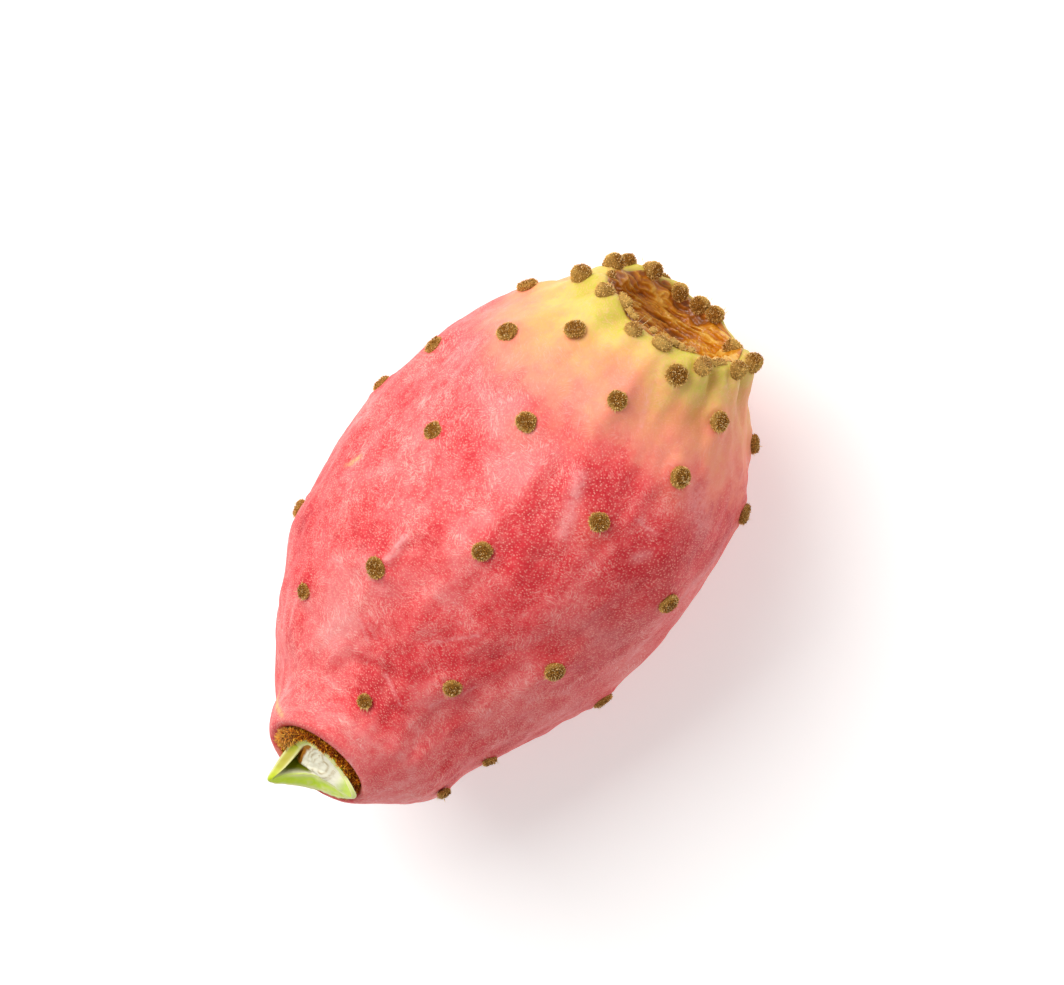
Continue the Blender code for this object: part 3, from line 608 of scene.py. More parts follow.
def makeRind():
    scar, fine, cup = rind["scarRows"], rind["skinRows"], rind["cupRows"]
    rows = np.concatenate([np.linspace(scar[0], lipU + scar[1], scar[2]),
                           np.arange(lipU + fine[0], rimU + fine[1], fine[2]),
                           np.linspace(rimU + cup[0], endU + cup[1], cup[2])])
    u = rows[:, None]
    phi = np.linspace(-math.pi, math.pi, rind["columns"], endpoint=False)[None, :]
    s, r, _, _ = profileAt(u)
    below = rimU - u
    collar, halo, redder, crease = (np.zeros(np.broadcast(u, phi).shape) for _ in range(4))
    for areoleU, areolePhi, onRim in places:
        across = r * turnBetween(phi, areolePhi)
        size, share = (areoles["rimSize"], rind["rimCollar"]) if onRim else (1.0, 1.0)
        collar += share * hump(np.hypot(u - areoleU, across) - rind["collarAt"] * size, rind["collarWide"])
        behind = hump(np.hypot(u - areoleU + rind["haloBehind"], across), rind["haloWide"])
        halo += behind * smoothShare(areoleU, rimU + rind["haloFrom"], rimU + rind["haloFull"])
        ahead = hump(np.hypot(u - areoleU - rind["redAhead"], across), rind["redWide"])
        redder += rind["redShare"] * ahead
    for turn, ends, depth, wide in rind["creases"]:
        along = band(below, *rind["creaseFrom"], ends, ends * rind["creaseSoft"])
        crease += depth * along * hump(r * turnBetween(phi, math.radians(turn)), wide)

    def drawn(label):
        # each of the table's lines over the skin, fading out beside it
        for start, end, wide, amount in rind[label]:
            spread = np.interp((start[0] + end[0]) / 2, profileU, profileLine[:, 1])
            start, end = (np.array([a, math.radians(b) * spread]) for a, b in (start, end))
            spot = np.stack(np.broadcast_arrays(u, phi * spread), -1) - start
            along = np.clip(spot @ (end - start) / ((end - start) @ (end - start)), 0.0, 1.0)
            yield amount * hump(np.linalg.norm(spot - along[..., None] * (end - start), axis=-1), wide)

    begin, full = rind["dentEnds"]
    more, moreAt, moreSpread = rind["dentMore"]
    onBody = smoothShare(u, lipU + begin, lipU + full) * smoothShare(below, begin, full)
    plain = skinPoint(u, phi)
    dents = lumpsOver(plain, rind["dentSize"], (rind["dentLong"], 1.0, 1.0), 0.7, 2.1) * onBody
    dents = dents * (1.0 + more * hump(s - moreAt, moreSpread))
    above = rind["collarRise"] * collar + rind["dentRise"] * dents
    above = above + rind["grainRise"] * lumpsOver(plain, rind["grainSize"])
    above = above + sum(drawn("folds")) - crease - rimDip(u, phi)

    degrees = np.degrees(phi)
    further = sum(amount * hump(degrees - at, spread) for at, spread, amount in rind["crownMore"])
    further = further + rind["crownUnder"] * (1 - np.cos(phi)) / 2 + patches(s, r, phi, rind["ripens"])
    offRib, soft = rind["valleyOffRib"]
    at, spread = rind["valleyAt"]
    # partly painted shade: ochre where the skin lies below the ribs, and more in each crease by its depth
    valley = band(below, *rind["valleyBelow"]) * smoothShare(offRib - ridges(u, phi), 0.0, soft)
    values = {
        "rub": np.max(list(drawn("rubs")), axis=0),
        "scuff": np.clip(sum(drawn("scuffs")), 0.0, rind["scuffMost"]),
        "flushAndShade": patches(s, r, phi, rind["flushesAndShade"]) + redder,
        "paintedFlankShade": patches(s, r, phi, rind["paintedFlankShade"]), "halo": np.clip(halo, 0, 1),
        "crown": np.clip((rind["crownLong"] - below + further) / rind["crownLong"], 0.0, 1.0),
        "valley": np.clip(rind["valleyShare"] * valley * hump(degrees - at, spread)
                          + crease * rind["creaseShadeShare"], 0.0, 1.0),
        "cup": np.broadcast_to(smoothShare(u, rimU + rind["cupFrom"], rimU + rind["cupFull"]), collar.shape),
    }

    def mapOf(row, column):
        # along the skin and round it, in metres, so that its patterns keep their size everywhere
        at = np.interp(row, np.arange(len(rows)), rows)
        turn = column * 2 * math.pi / rind["columns"] - math.pi
        return np.stack([at, turn * profileAt(at)[1]], -1) * mm

    grid = skinPoint(u, phi, above)
    mesh = surfaceOf("skin", grid, (skinPoint(0.0, 0.0), skinPoint(endU, 0.0)), values=values, mapOf=mapOf)
    skin = pieceOf("skin", mesh, rindMaterial())
    finishPiece(skin, ["fruit"])


# The areoles: pads of short brown felt, each a dome of grains with a few paler fibres and bristles

felt = {
    "rings": ((0.7, -0.75), (0.95, -0.25), (1.0, 0.1), (0.99, 0.38), (0.94, 0.6), (0.83, 0.78),
              (0.66, 0.9), (0.44, 0.95), (0.2, 0.93)),
    "top": 0.88, "columns": 22,
    "bodyRise": 0.78, "size": 0.87, "sizes": (0.92, 1.06), "rises": (0.85, 1.15), "ovals": (0.94, 1.06),
    "rimLean": 0.55, "farLean": 0.35, "leanAt": (70.0, 5.0), "farShift": 0.7, "rimWorn": 0.6,
    "rimRise": 1.7, "nearRise": -0.55, "lumpSize": 0.9, "lumpRise": 0.4, "padTone": 0.3,
    "grains": {"Spacing": 0.14, "Density": 60.0, "Width": 0.09, "Length": 0.22, "Smallest": 0.6,
               "Largest": 1.25, "Longer When Worn": 0.0, "Darkest": 0.2, "Palest": 0.9, "Bare Below": -0.3,
               "Seed": 5, "Tone Seed": 31},
    # worn tufts along the crown's rim between the areoles: (phi, radius)
    "tufts": ((-66, 0.5), (-60, 0.4), (-45, 0.45), (-29, 0.6), (-24, 0.45), (-6, 0.4), (12, 0.5), (19, 0.4),
              (27, 0.45), (43, 0.5), (50, 0.7), (57, 0.8), (-96, 0.6)),
    "tuftAt": 0.35, "tuftLong": 1.2, "tuftRise": 0.45,
}


def feltMaterial(name, dark, mid, light, pale):
    # short plant felt: matt, each grain its own brown, paler where it is worn or faces the stem
    material, tree, shader = startMaterial(name, Roughness=0.8, Specular_IOR_Level=0.15)
    tone, fringe, worn, tip = readValues(tree, "tone", "fringe", "worn", "tip")
    place = addNode(tree, "ShaderNodeTexCoord", None, "Object")
    fine = addNode(tree, "ShaderNodeTexNoise", {"Vector": place, "Scale": perMetre(0.25), "Detail": 3.0})
    share = worked(tree, fine, ('MULTIPLY_ADD', 0.5, tone))
    share = worked(tree, tip, ('MULTIPLY_ADD', 0.35, share), ('SUBTRACT', 0.45), clamped=True)
    paleShare = worked(tree, fringe, ('MULTIPLY', worked(tree, share, ('MULTIPLY_ADD', 0.7, 0.3))))
    wornShare = worked(tree, worn, ('MULTIPLY', worked(tree, tip, ('MULTIPLY_ADD', 0.3, 0.25))))
    colour = layered(tree, shaded(tree, share, (0.0, dark), (0.5, mid), (1.0, light)),
                     (paleShare, pale), (wornShare, "#ecc274"))
    feedShader(tree, shader, {"Base Color": colour})
    return material


def padForm():
    turn = np.linspace(0, 2 * math.pi, felt["columns"], endpoint=False)
    grid = [[(share * math.cos(a), share * math.sin(a), height) for a in turn]
            for share, height in felt["rings"]]
    mesh = surfaceOf("padForm", grid, ((0, 0, felt["rings"][0][1]), (0, 0, felt["top"])),
                     values={"inset": [[height] * len(turn) for _, height in felt["rings"]]})
    pad = pieceOf("padForm", mesh, None)
    pad.hide_render = True
    return pad


def furred(tree, given, ground, material):
    # the ground with pointed grains all over it, each with its own lean, size and tone
    inset, worn = (addNode(tree, "GeometryNodeInputNamedAttribute", {"Name": label}, data_type='FLOAT')
                   for label in ("inset", "worn"))
    seen = addNode(tree, "FunctionNodeCompare", {0: inset, 1: given["Bare Below"]}, operation='GREATER_THAN')
    spots = addNode(tree, "GeometryNodeDistributePointsOnFaces", {
        "Mesh": ground, "Selection": seen, "Distance Min": given["Spacing"], "Density Max": given["Density"],
        "Seed": given["Seed"]}, distribute_method='POISSON')
    stray = addNode(tree, "FunctionNodeRandomValue", {0: (-0.7, -0.7, -0.7), 1: (0.7, 0.7, 0.7),
                    "Seed": given["Seed"]}, data_type='FLOAT_VECTOR')
    lean = addNode(tree, "ShaderNodeVectorMath", {0: spots.node.outputs["Normal"], 1: stray}, operation='ADD')
    turned = addNode(tree, "FunctionNodeAlignRotationToVector", {"Vector": lean}, axis='Z')
    size = addNode(tree, "FunctionNodeRandomValue", {2: given["Smallest"], 3: given["Largest"],
                   "Seed": given["Seed"]}, 1)
    longer = worked(tree, worn, ('MULTIPLY_ADD', given["Longer When Worn"], 1.0))
    size = worked(tree, size, ('MULTIPLY', longer))
    tone = addNode(tree, "FunctionNodeRandomValue", {2: given["Darkest"], 3: given["Palest"],
                   "Seed": given["Tone Seed"]}, 1)

    grain = addNode(tree, "GeometryNodeMeshCone", {"Vertices": 3, "Radius Top": 0.0,
                    "Radius Bottom": given["Width"], "Depth": given["Length"]})
    upTo = addNode(tree, "ShaderNodeSeparateXYZ", {0: addNode(tree, "GeometryNodeInputPosition")}, 2)
    upTo = worked(tree, upTo, ('DIVIDE', given["Length"]))
    grain = addNode(tree, "GeometryNodeStoreNamedAttribute", {"Geometry": grain, "Name": "tip",
                    "Value": upTo}, data_type='FLOAT', domain='POINT')
    grains = addNode(tree, "GeometryNodeInstanceOnPoints", {"Points": spots, "Instance": grain,
                     "Rotation": turned, "Scale": size})
    grains = addNode(tree, "GeometryNodeStoreNamedAttribute", {"Geometry": grains, "Name": "tone",
                     "Value": tone}, data_type='FLOAT', domain='INSTANCE')
    joined = addNode(tree, "GeometryNodeJoinGeometry", {0: grains})
    tree.links.new(ground, joined.node.inputs[0])
    real = addNode(tree, "GeometryNodeRealizeInstances", {"Geometry": joined})
    last = addNode(tree, "GeometryNodeSetMaterial", {"Geometry": real, "Material": material})
    addNode(tree, "NodeGroupOutput", {"Geometry": last})


def feltTree(material, sizes):
    # the pad's form at every point, lumpy, and furred
    tree, given = startTree("areoleFelt", sizes)
    out, along, padScale, stemward = (
        addNode(tree, "GeometryNodeInputNamedAttribute", {"Name": label}, data_type='FLOAT_VECTOR')
        for label in ("out", "along", "padScale", "stemward"))
    stand = addNode(tree, "FunctionNodeAxesToRotation", {"Primary Axis": out, "Secondary Axis": along},
                    primary_axis='Z', secondary_axis='X')
    form = addNode(tree, "GeometryNodeObjectInfo", {"Object": given["Pad"]}, "Geometry")
    pads = addNode(tree, "GeometryNodeInstanceOnPoints", {"Points": given["Geometry"], "Instance": form,
                   "Rotation": stand, "Scale": padScale})
    pads = addNode(tree, "GeometryNodeRealizeInstances", {"Geometry": pads})
    normal = addNode(tree, "GeometryNodeInputNormal")
    lumps = addNode(tree, "ShaderNodeTexNoise", {"Scale": given["Lumps Per Millimetre"], "Detail": 2.0})
    push = worked(tree, lumps, ('SUBTRACT', 0.5), ('MULTIPLY', given["Lump Rise"]))
    push = addNode(tree, "ShaderNodeVectorMath", {0: normal, "Scale": push}, operation='SCALE')
    pads = addNode(tree, "GeometryNodeSetPosition", {"Geometry": pads, "Offset": push})

    # paler on the side that faces the stem, and round the pad's foot
    facing = addNode(tree, "ShaderNodeVectorMath", {0: normal, 1: stemward}, "Value", operation='DOT_PRODUCT')
    facing = addNode(tree, "ShaderNodeMapRange", {"Value": facing, "From Min": 0.3, "From Max": 0.75})
    height = addNode(tree, "GeometryNodeInputNamedAttribute", {"Name": "inset"}, data_type='FLOAT')
    edge = addNode(tree, "ShaderNodeMapRange", {"Value": height, "From Min": 0.9, "From Max": 0.6,
                   "To Max": 0.5})
    fringe = worked(tree, facing, ('MAXIMUM', edge))
    for label, value in (("fringe", fringe), ("tone", given["Pad Tone"])):
        pads = addNode(tree, "GeometryNodeStoreNamedAttribute", {"Geometry": pads, "Name": label,
                       "Value": value}, data_type='FLOAT', domain='POINT')
    furred(tree, given, pads, material)
    return tree


def makeAreoles():
    draw = random.Random(areoles["sizeSeed"])
    pads = []
    for u, phi, onRim in places:
        size = areoleSize(u, onRim)
        radius = areoles["radius"] * size * draw.uniform(*felt["sizes"])
        rise = areoles["rise"] * felt["bodyRise"] * size * draw.uniform(*felt["rises"])
        oval = draw.uniform(*felt["ovals"])
        phase = draw.uniform(0, math.pi)
        near, far = max(math.cos(phi), 0.0) * onRim, max(-math.cos(phi), 0.0) * onRim
        point, lengthways, outwards = skinAxes(u + felt["farShift"] * far, phi)
        if onRim:
            # the crown's areoles are taller and lean in over its hollow, and are worn flat on its near lip
            station, reach = felt["leanAt"]
            inwards = inSpace(station, 0.0, 0.0) - inSpace(station, reach, phi)
            outwards = outwards + (felt["rimLean"] + felt["farLean"] * far) * inwards / reach
            outwards /= np.linalg.norm(outwards)
            lengthways = lengthways - outwards * (lengthways @ outwards)
            lengthways /= np.linalg.norm(lengthways)
            rise *= (felt["rimRise"] + felt["nearRise"] * near) / felt["bodyRise"]
            point = point - outwards * rimDip(u, phi)
        sideways = np.cross(outwards, lengthways)
        along = math.cos(phase) * lengthways + math.sin(phase) * sideways
        scale = (radius * oval * felt["size"], radius / oval * felt["size"], rise)
        pads.append((point, outwards, along, scale, -lengthways, felt["rimWorn"] * near))
    for turn, size in felt["tufts"]:
        point, lengthways, outwards = skinAxes(rimU + felt["tuftAt"], math.radians(turn))
        scale = (size, size * felt["tuftLong"], felt["tuftRise"])
        pads.append((point, outwards, lengthways, scale, -lengthways, max(math.cos(math.radians(turn)), 0.0)))

    points, *vectors, worn = zip(*pads)
    mesh = bpy.data.meshes.new("areoleFelt")
    mesh.from_pydata([tuple(point) for point in points], [], [])
    for label, value in zip(("out", "along", "padScale", "stemward"), vectors):
        layer = mesh.attributes.new(label, 'FLOAT_VECTOR', 'POINT')
        layer.data.foreach_set("vector", np.asarray(value, float).ravel())
    mesh.attributes.new("worn", 'FLOAT', 'POINT').data.foreach_set("value", worn)
    source = pieceOf("areoleFelt", mesh, None)
    sizes = {"Pad": padForm(), "Lumps Per Millimetre": 1 / felt["lumpSize"], "Lump Rise": felt["lumpRise"],
             "Pad Tone": felt["padTone"], **felt["grains"]}
    material = feltMaterial("brownAreoleFelt", "#583206", "#c88830", "#ffe8b0", "#f4cc70")
    source.data = grownMesh("felt", source, feltTree(material, sizes), sizes)
    bpy.data.objects.remove(sizes["Pad"])
    finishPiece(source, ["fruit"])


# Glochids: the few barbed bristles, dry and straw-coloured, that stand out of the felt

glochids = {
    "each": (1, 3), "length": (0.45, 0.9), "wide": 0.05, "lean": 0.9, "spread": 0.9, "away": (0.3, 1.0),
    "lift": 0.7, "seed": 9,
    # a crust of them round the stemward foot of each areole
    "crust": (5, 9), "crustLength": (0.45, 0.85), "crustTurn": 0.75, "crustAway": (0.7, 0.95),
    "crustLift": (0.05, 0.3), "crustLean": (0.1, 0.7),
    # longer ones on the crown's near rim: (phi, length)
    "long": ((-16, 2.3), (-20, 1.3), (-38, 1.2), (-43, 0.9), (-9, 0.9), (22, 1.0), (72, 1.0)),
    "longAt": 0.8, "longLean": (-0.2, 0.4), "longFoot": 0.5,
}


def makeGlochids():
    draw = random.Random(glochids["seed"])
    stems = []
    for u, phi, onRim in places:
        point, lengthways, outwards = skinAxes(u, phi)
        sideways = np.cross(outwards, lengthways)
        for _ in range(draw.randint(*glochids["each"])):
            turn, away = draw.uniform(0, 2 * math.pi), glochids["spread"] * draw.uniform(*glochids["away"])
            aside = (math.cos(turn) * lengthways + math.sin(turn) * sideways) * away
            stems.append((point + aside + outwards * glochids["lift"], outwards + glochids["lean"] * aside,
                          draw.uniform(*glochids["length"])))
        edge = areoles["radius"] * felt["size"] * areoleSize(u, onRim)
        for _ in range(0 if onRim else draw.randint(*glochids["crust"])):
            turn = draw.uniform(-glochids["crustTurn"], glochids["crustTurn"])
            aside = -math.cos(turn) * lengthways + math.sin(turn) * sideways
            foot = point + aside * edge * draw.uniform(*glochids["crustAway"])
            foot = foot + outwards * draw.uniform(*glochids["crustLift"])
            way = aside + outwards * draw.uniform(*glochids["crustLean"])
            stems.append((foot, way, draw.uniform(*glochids["crustLength"])))
    for turn, length in glochids["long"]:
        point, lengthways, outwards = skinAxes(rimU + glochids["longAt"], math.radians(turn))
        way = outwards + lengthways * draw.uniform(*glochids["longLean"])
        stems.append((point, way, length + glochids["longFoot"]))
    points, faces = [], []
    for foot, way, length in stems:
        way = way / np.linalg.norm(way)
        first = np.cross(way, (0.3, 0.5, 0.8))
        first /= np.linalg.norm(first)
        second = np.cross(way, first)
        start = len(points)
        for k in range(4):
            turn = k * math.pi / 2
            points.append(foot + glochids["wide"] * (math.cos(turn) * first + math.sin(turn) * second))
            faces.append((start + k, start + (k + 1) % 4, start + 4))
        points.append(foot + way * length)
        faces.append((start + 3, start + 2, start + 1, start))
    mesh = bpy.data.meshes.new("glochids")
    mesh.from_pydata([tuple(p) for p in points], [], faces)
    # dry bristles, too thin for any pattern to show: straw-coloured and a little shiny
    material, _, _ = startMaterial("dryGlochid", Base_Color=linear("#ecd08c"), Roughness=0.4)
    finishPiece(pieceOf("glochids", mesh, material), ["fruit"])


# The dried bed of the flower: a thin wet-looking membrane, wrinkled across the crown's hollow

bed = {
    "from": 0.25, "to": 0.985, "rows": 120, "lowStep": 7, "columns": 360, "flatten": 0.85,
    "gap": 0.06, "leastGap": 0.03, "thick": 0.7, "thickBy": 0.1, "calmEdge": 0.05, "calmShare": 0.35,
    "foldAcross": 1.6, "foldTwist": 1.3, "foldRise": 0.1, "crinkleSize": 0.4, "crinkleRise": 0.1,
    # wrinkles that run round a place up from the middle: (size, looseness, detail, rise)
    "wrinkles": ((1.0, 1.7, 3, 0.7), (0.45, 4.5, 2, 0.5)), "wrinkleUp": 2.5, "wrinkleOval": 0.85,
    "meander": 0.4, "meanderSize": 1.9, "shade": (0.55, 1.4), "golden": 95.0, "goldenSpread": 62.0,
}


def bedMaterial():
    # dried membrane, still a little sticky and glossy, with painted shade between its wrinkles and painted
    # highlights of pale gold on their crests
    material, tree, shader = startMaterial("driedFlowerMembrane", Coat_Weight=0.25, Coat_Roughness=0.16,
                                           Roughness=0.34, Specular_IOR_Level=0.35)
    place = addNode(tree, "ShaderNodeTexCoord", None, "Object")
    fold, golden = readValues(tree, "fold", "golden")
    streak = addNode(tree, "ShaderNodeTexNoise", {"Vector": place, "Scale": perMetre(1.0), "Detail": 6.0,
                     "Roughness": 0.65})
    # the fold value carries painted shade in the wrinkles' hollows and painted highlights on their crests
    share = worked(tree, golden, ('MULTIPLY_ADD', 0.22, worked(tree, fold, ('ADD', streak))))
    share = addNode(tree, "ShaderNodeMapRange", {"Value": share, "From Min": 0.4, "From Max": 1.6})
    shades = shaded(tree, share, (0.0, "#6c3606"), (0.22, "#944c06"), (0.45, "#bc6606"), (0.68, "#cc7c08"),
                    (0.86, "#dc9418"), (1.0, "#f4c054"))
    tan = worked(tree, golden, ('MULTIPLY_ADD', -0.35, 0.3), clamped=True)
    gilt = worked(tree, golden, ('MULTIPLY', 0.35))
    colour = layered(tree, shades, (tan, "#905c28"), (gilt, "#b87000"))
    bump = addNode(tree, "ShaderNodeBump", {"Height": streak, "Strength": 0.5, "Distance": 0.12 * mm})
    feedShader(tree, shader, {"Base Color": colour, "Normal": bump})
    return material


def makeBed():
    start = rimU + bed["from"]
    share = np.linspace(0.0, bed["to"], bed["rows"])[:, None]
    phi = np.linspace(0, 2 * math.pi, bed["columns"], endpoint=False)[None, :]
    u = start + (endU - start) * share
    s, r, outS, outR = profileAt(u)
    inwards = (endU - u) * bed["flatten"]         # measured along the membrane from its middle
    upward, across = inwards * np.cos(phi), inwards * np.sin(phi)

    def wrinkled(size, loose, octaves, a, b):
        spot = Vector((a / size, loose * math.cos(b), loose * math.sin(b)))
        return noise.ridged_multi_fractal(spot, 1.0, 2.1, octaves, 0.9, 1.8)

    def wandering(size, layer):
        return np.array([[noise.noise(Vector((a / size, b / size, layer))) for a, b in zip(*pair)]
                         for pair in zip(upward, across)])

    wide = np.sin(bed["foldAcross"] * upward + bed["foldTwist"] * np.sin(2 * phi))
    fold = bed["foldRise"] * wide + bed["crinkleRise"] * wandering(bed["crinkleSize"], 7.0)
    away = np.hypot(upward - bed["wrinkleUp"], bed["wrinkleOval"] * across)
    away = away + bed["meander"] * wandering(bed["meanderSize"], 3.0)
    turn = np.arctan2(across, upward - bed["wrinkleUp"])
    for size, loose, octaves, rise in bed["wrinkles"]:
        ridged = np.array([[wrinkled(size, loose, octaves, a, b) for a, b in zip(*pair)]
                           for pair in zip(away, turn)])
        fold = fold + rise * (ridged - ridged.mean()) / (ridged.max() - ridged.min())
    calm = smoothShare(share, 0.0, bed["calmEdge"])
    calm = calm * (1 - bed["calmShare"] + bed["calmShare"] * np.sin(math.pi * share))
    height = bed["gap"] + bed["thick"] * smoothShare(share, 0.0, bed["thickBy"]) + fold * calm
    height = np.maximum(height, bed["gap"] + bed["leastGap"]) + ridges(u, phi)
    dip = rimDip(u, turnBetween(phi, 0.0))

    def lifted(by):
        return inSpace(s + outS * by, np.maximum(r + outR * by, 0.0), phi)

    low = lifted(bed["gap"] - dip)[::-1][::bed["lowStep"]]
    # painted shade and highlights: darker where the wrinkles sink, paler where they rise
    plain, more = bed["shade"]
    shade = np.clip(plain + more * fold, 0.0, 1.0)
    fromGold = np.degrees(turnBetween(phi, math.radians(bed["golden"])))
    gold = hump(fromGold, bed["goldenSpread"]) * np.ones_like(shade)
    values = {"fold": np.concatenate([shade[:len(low)] * 0, shade]),
              "golden": np.concatenate([gold[:len(low)], gold])}
    middle = profileAt(endU)[0]
    poles = (inSpace(middle + bed["gap"], 0.0, 0.0), inSpace(middle + height[-1].mean(), 0.0, 0.0))
    mesh = surfaceOf("bedMembrane", np.concatenate([low, lifted(height - dip)]), poles, values=values)
    membrane = pieceOf("bedMembrane", mesh, bedMaterial())
    finishPiece(membrane, ["flower_bed"])


# The ring of wool round the scar: a soft brown roll with golden fibres

wool = {
    "radius": 5.45, "thick": 0.6, "flat": 0.95, "base": 0.2, "columns": 180, "sides": 20,
    "tuft": 0.45, "tuftAt": -78.0, "tuftSpread": 20.0,      # thicker and longer at one place
    "lump": 0.5, "lumpSize": 0.8, "sink": 0.08, "tone": (0.15, 0.3),
    "fibres": {"Spacing": 0.135, "Density": 80.0, "Width": 0.07, "Length": 0.42, "Smallest": 0.4,
               "Largest": 1.2, "Longer When Worn": 0.9, "Darkest": 0.0, "Palest": 1.0, "Bare Below": -0.3,
               "Seed": 23, "Tone Seed": 37},
}


def scarAxes():
    centre = inSpace(0.0, 0.0, 0.0)
    across = inSpace(0.0, 1.0, math.pi / 2) - centre
    upward = inSpace(0.0, 1.0, 0.0) - centre
    across, upward = across / np.linalg.norm(across), upward / np.linalg.norm(upward)
    return centre, across, upward, np.cross(across, upward)


def onScar(points):
    centre, across, upward, out = scarAxes()
    points = np.asarray(points, float)
    return centre + points[..., :1] * across + points[..., 1:2] * upward + points[..., 2:] * out


def makeWool():
    phi = np.linspace(0, 2 * math.pi, wool["columns"], endpoint=False)[:, None]
    a = np.linspace(0, 2 * math.pi, wool["sides"], endpoint=False)[None, :]
    tuft = hump(np.degrees(turnBetween(phi, math.radians(wool["tuftAt"]))), wool["tuftSpread"])
    thick = wool["thick"] + wool["tuft"] * tuft

    def roll(extra):
        r = wool["radius"] + (thick * wool["flat"] + extra) * np.cos(a)
        height = wool["base"] + thick + (thick + extra) * np.sin(a)
        return np.stack(np.broadcast_arrays(r * np.sin(phi), r * np.cos(phi), height), -1)

    lumps = lumpsOver(roll(0.0), wool["lumpSize"])
    tone, toneLumps = wool["tone"]
    mesh = surfaceOf("stemWool", onScar(roll(wool["lump"] * lumps - wool["sink"])), looped=True,
                     values={"tone": tone + toneLumps * lumps, "worn": tuft * np.ones_like(lumps)})
    ring = pieceOf("stemWool", mesh, None)
    material = feltMaterial("goldenAreoleWool", "#642600", "#ec8a04", "#ffcc40", "#f0c050")
    tree, given = startTree("woolFibres", wool["fibres"])
    furred(tree, given, given["Geometry"], material)
    ring.data = grownMesh("fibres", ring, tree, wool["fibres"])
    finishPiece(ring, ["stem_wool"])


# The slice of pad left on the scar: lime skin, a cream cut edge, white flesh, and a hollow darkened partly by
# its own green and partly by painted shade

cutSlice = {
    "outer": ((6.4, 2.0, 2.2), (5.4, 3.4, 2.1), (3.3, 3.5, 1.4), (0.3, 4.3, 1.0), (-2.6, 3.7, 0.9),
              (-4.3, 2.8, 1.5), (-4.5, 0.3, 2.8), (-4.3, -1.3, 4.8), (-3.9, -2.4, 6.3),
              (-1.0, -4.2, 4.0), (1.9, -4.2, 2.3), (4.6, -2.4, 2.1)),
    "inner": ((5.9, 1.7, 2.5), (5.0, 2.7, 2.2), (3.1, 3.1, 1.6), (0.2, 3.9, 1.2), (-2.3, 3.3, 1.1),
              (-3.0, 2.1, 1.3), (-3.0, 0.9, 2.4), (-3.1, -0.5, 4.3), (-3.5, -2.0, 6.0),
              (-1.9, -1.7, 3.8), (0.4, -0.9, 2.3), (3.0, -0.5, 2.0)),
    "hollow": (0.05, 0.05, 0.05, 0.0, 0.0, 0.1, 1.2, 2.8, 4.4, 2.4, 0.3, 0.05),
    "flesh": (-1.3, -0.3, 2.35), "shelf": 0.12, "skin": 0.5,
    "wallIn": (0.14, 0.54), "wallUp": 0.9, "wallSteep": 2.5,
    "turn": 4.5, "neck": (4.3, 0.9), "foot": (3.9, -0.6), "steps": 12, "bumpSize": 1.3, "bumpRise": 0.12,
    "between": (2, 3, 8, 14, 12, 10, 30),         # rows from the foot up over each edge to the flesh
    # faint rings in the flesh, where its strands were cut: (x, y), radius
    "strands": (((-0.5, 2.3), 0.8), ((0.65, 2.0), 1.4), ((0.7, 1.8), 0.7), ((0.3, 2.0), 2.0)),
    "strandWide": 0.1, "strandOval": 0.64, "strandWaver": 0.25, "strandShow": (0.7, 0.2),
    # what is where on it, by the ring (3 the outer edge, 4 the inner one, 5 the floor), by the point of
    # the edge from 0 to 12, or across: where its middle is and its spread
    "outerEdge": (3.05, 0.12), "innerEdge": (3.95, 0.16), "ragged": (3.25, 0.3), "flap": (6.4, 1.3),
    "tip": (0.0, 0.7), "rust": (-2.6, 0.75), "rustEdge": (5.3, 0.6),
    # the same for what is even in its middle: start, full, end, softness
    "face": (2.9, 3.1, 4.1, 0.2), "hollowRings": (4.05, 4.5, 5.8, 0.4), "wallTop": (5.4, 5.7, 6.5, 0.35),
    "rustUp": (-1.3, -0.5, 3.8, 0.6),
    # and for what has a start only: start, full
    "deepEnough": (0.4, 1.2), "wallDeep": (0.3, 1.2), "fleshFrom": (3.95, 4.3), "greenFrom": (2.8, 4.8),
    "rustFrom": (4.0, 4.3), "raggedFrom": (8.8, 9.8), "bumpsFrom": (2.0, 3.0), "offGap": (0.4, 1.2),
    # the gap in the inner edge's cream, the pale stretch where the skin is thin, and the wall's rusty side
    "creamGap": 8.0, "thinAt": 2.5, "thinHalf": 0.6, "thinReach": 2.2, "thinSpread": 1.9, "thinEnd": 5.4,
    "wallSide": 0.2, "raggedFray": (0.1, 0.5),
    # how much each of them counts
    "edgeCream": 0.85, "thinCream": 0.75, "tipCream": 0.25, "raggedCream": 1.1, "green": 0.85,
    "edgeRust": 0.25, "rustiness": 0.8,
}


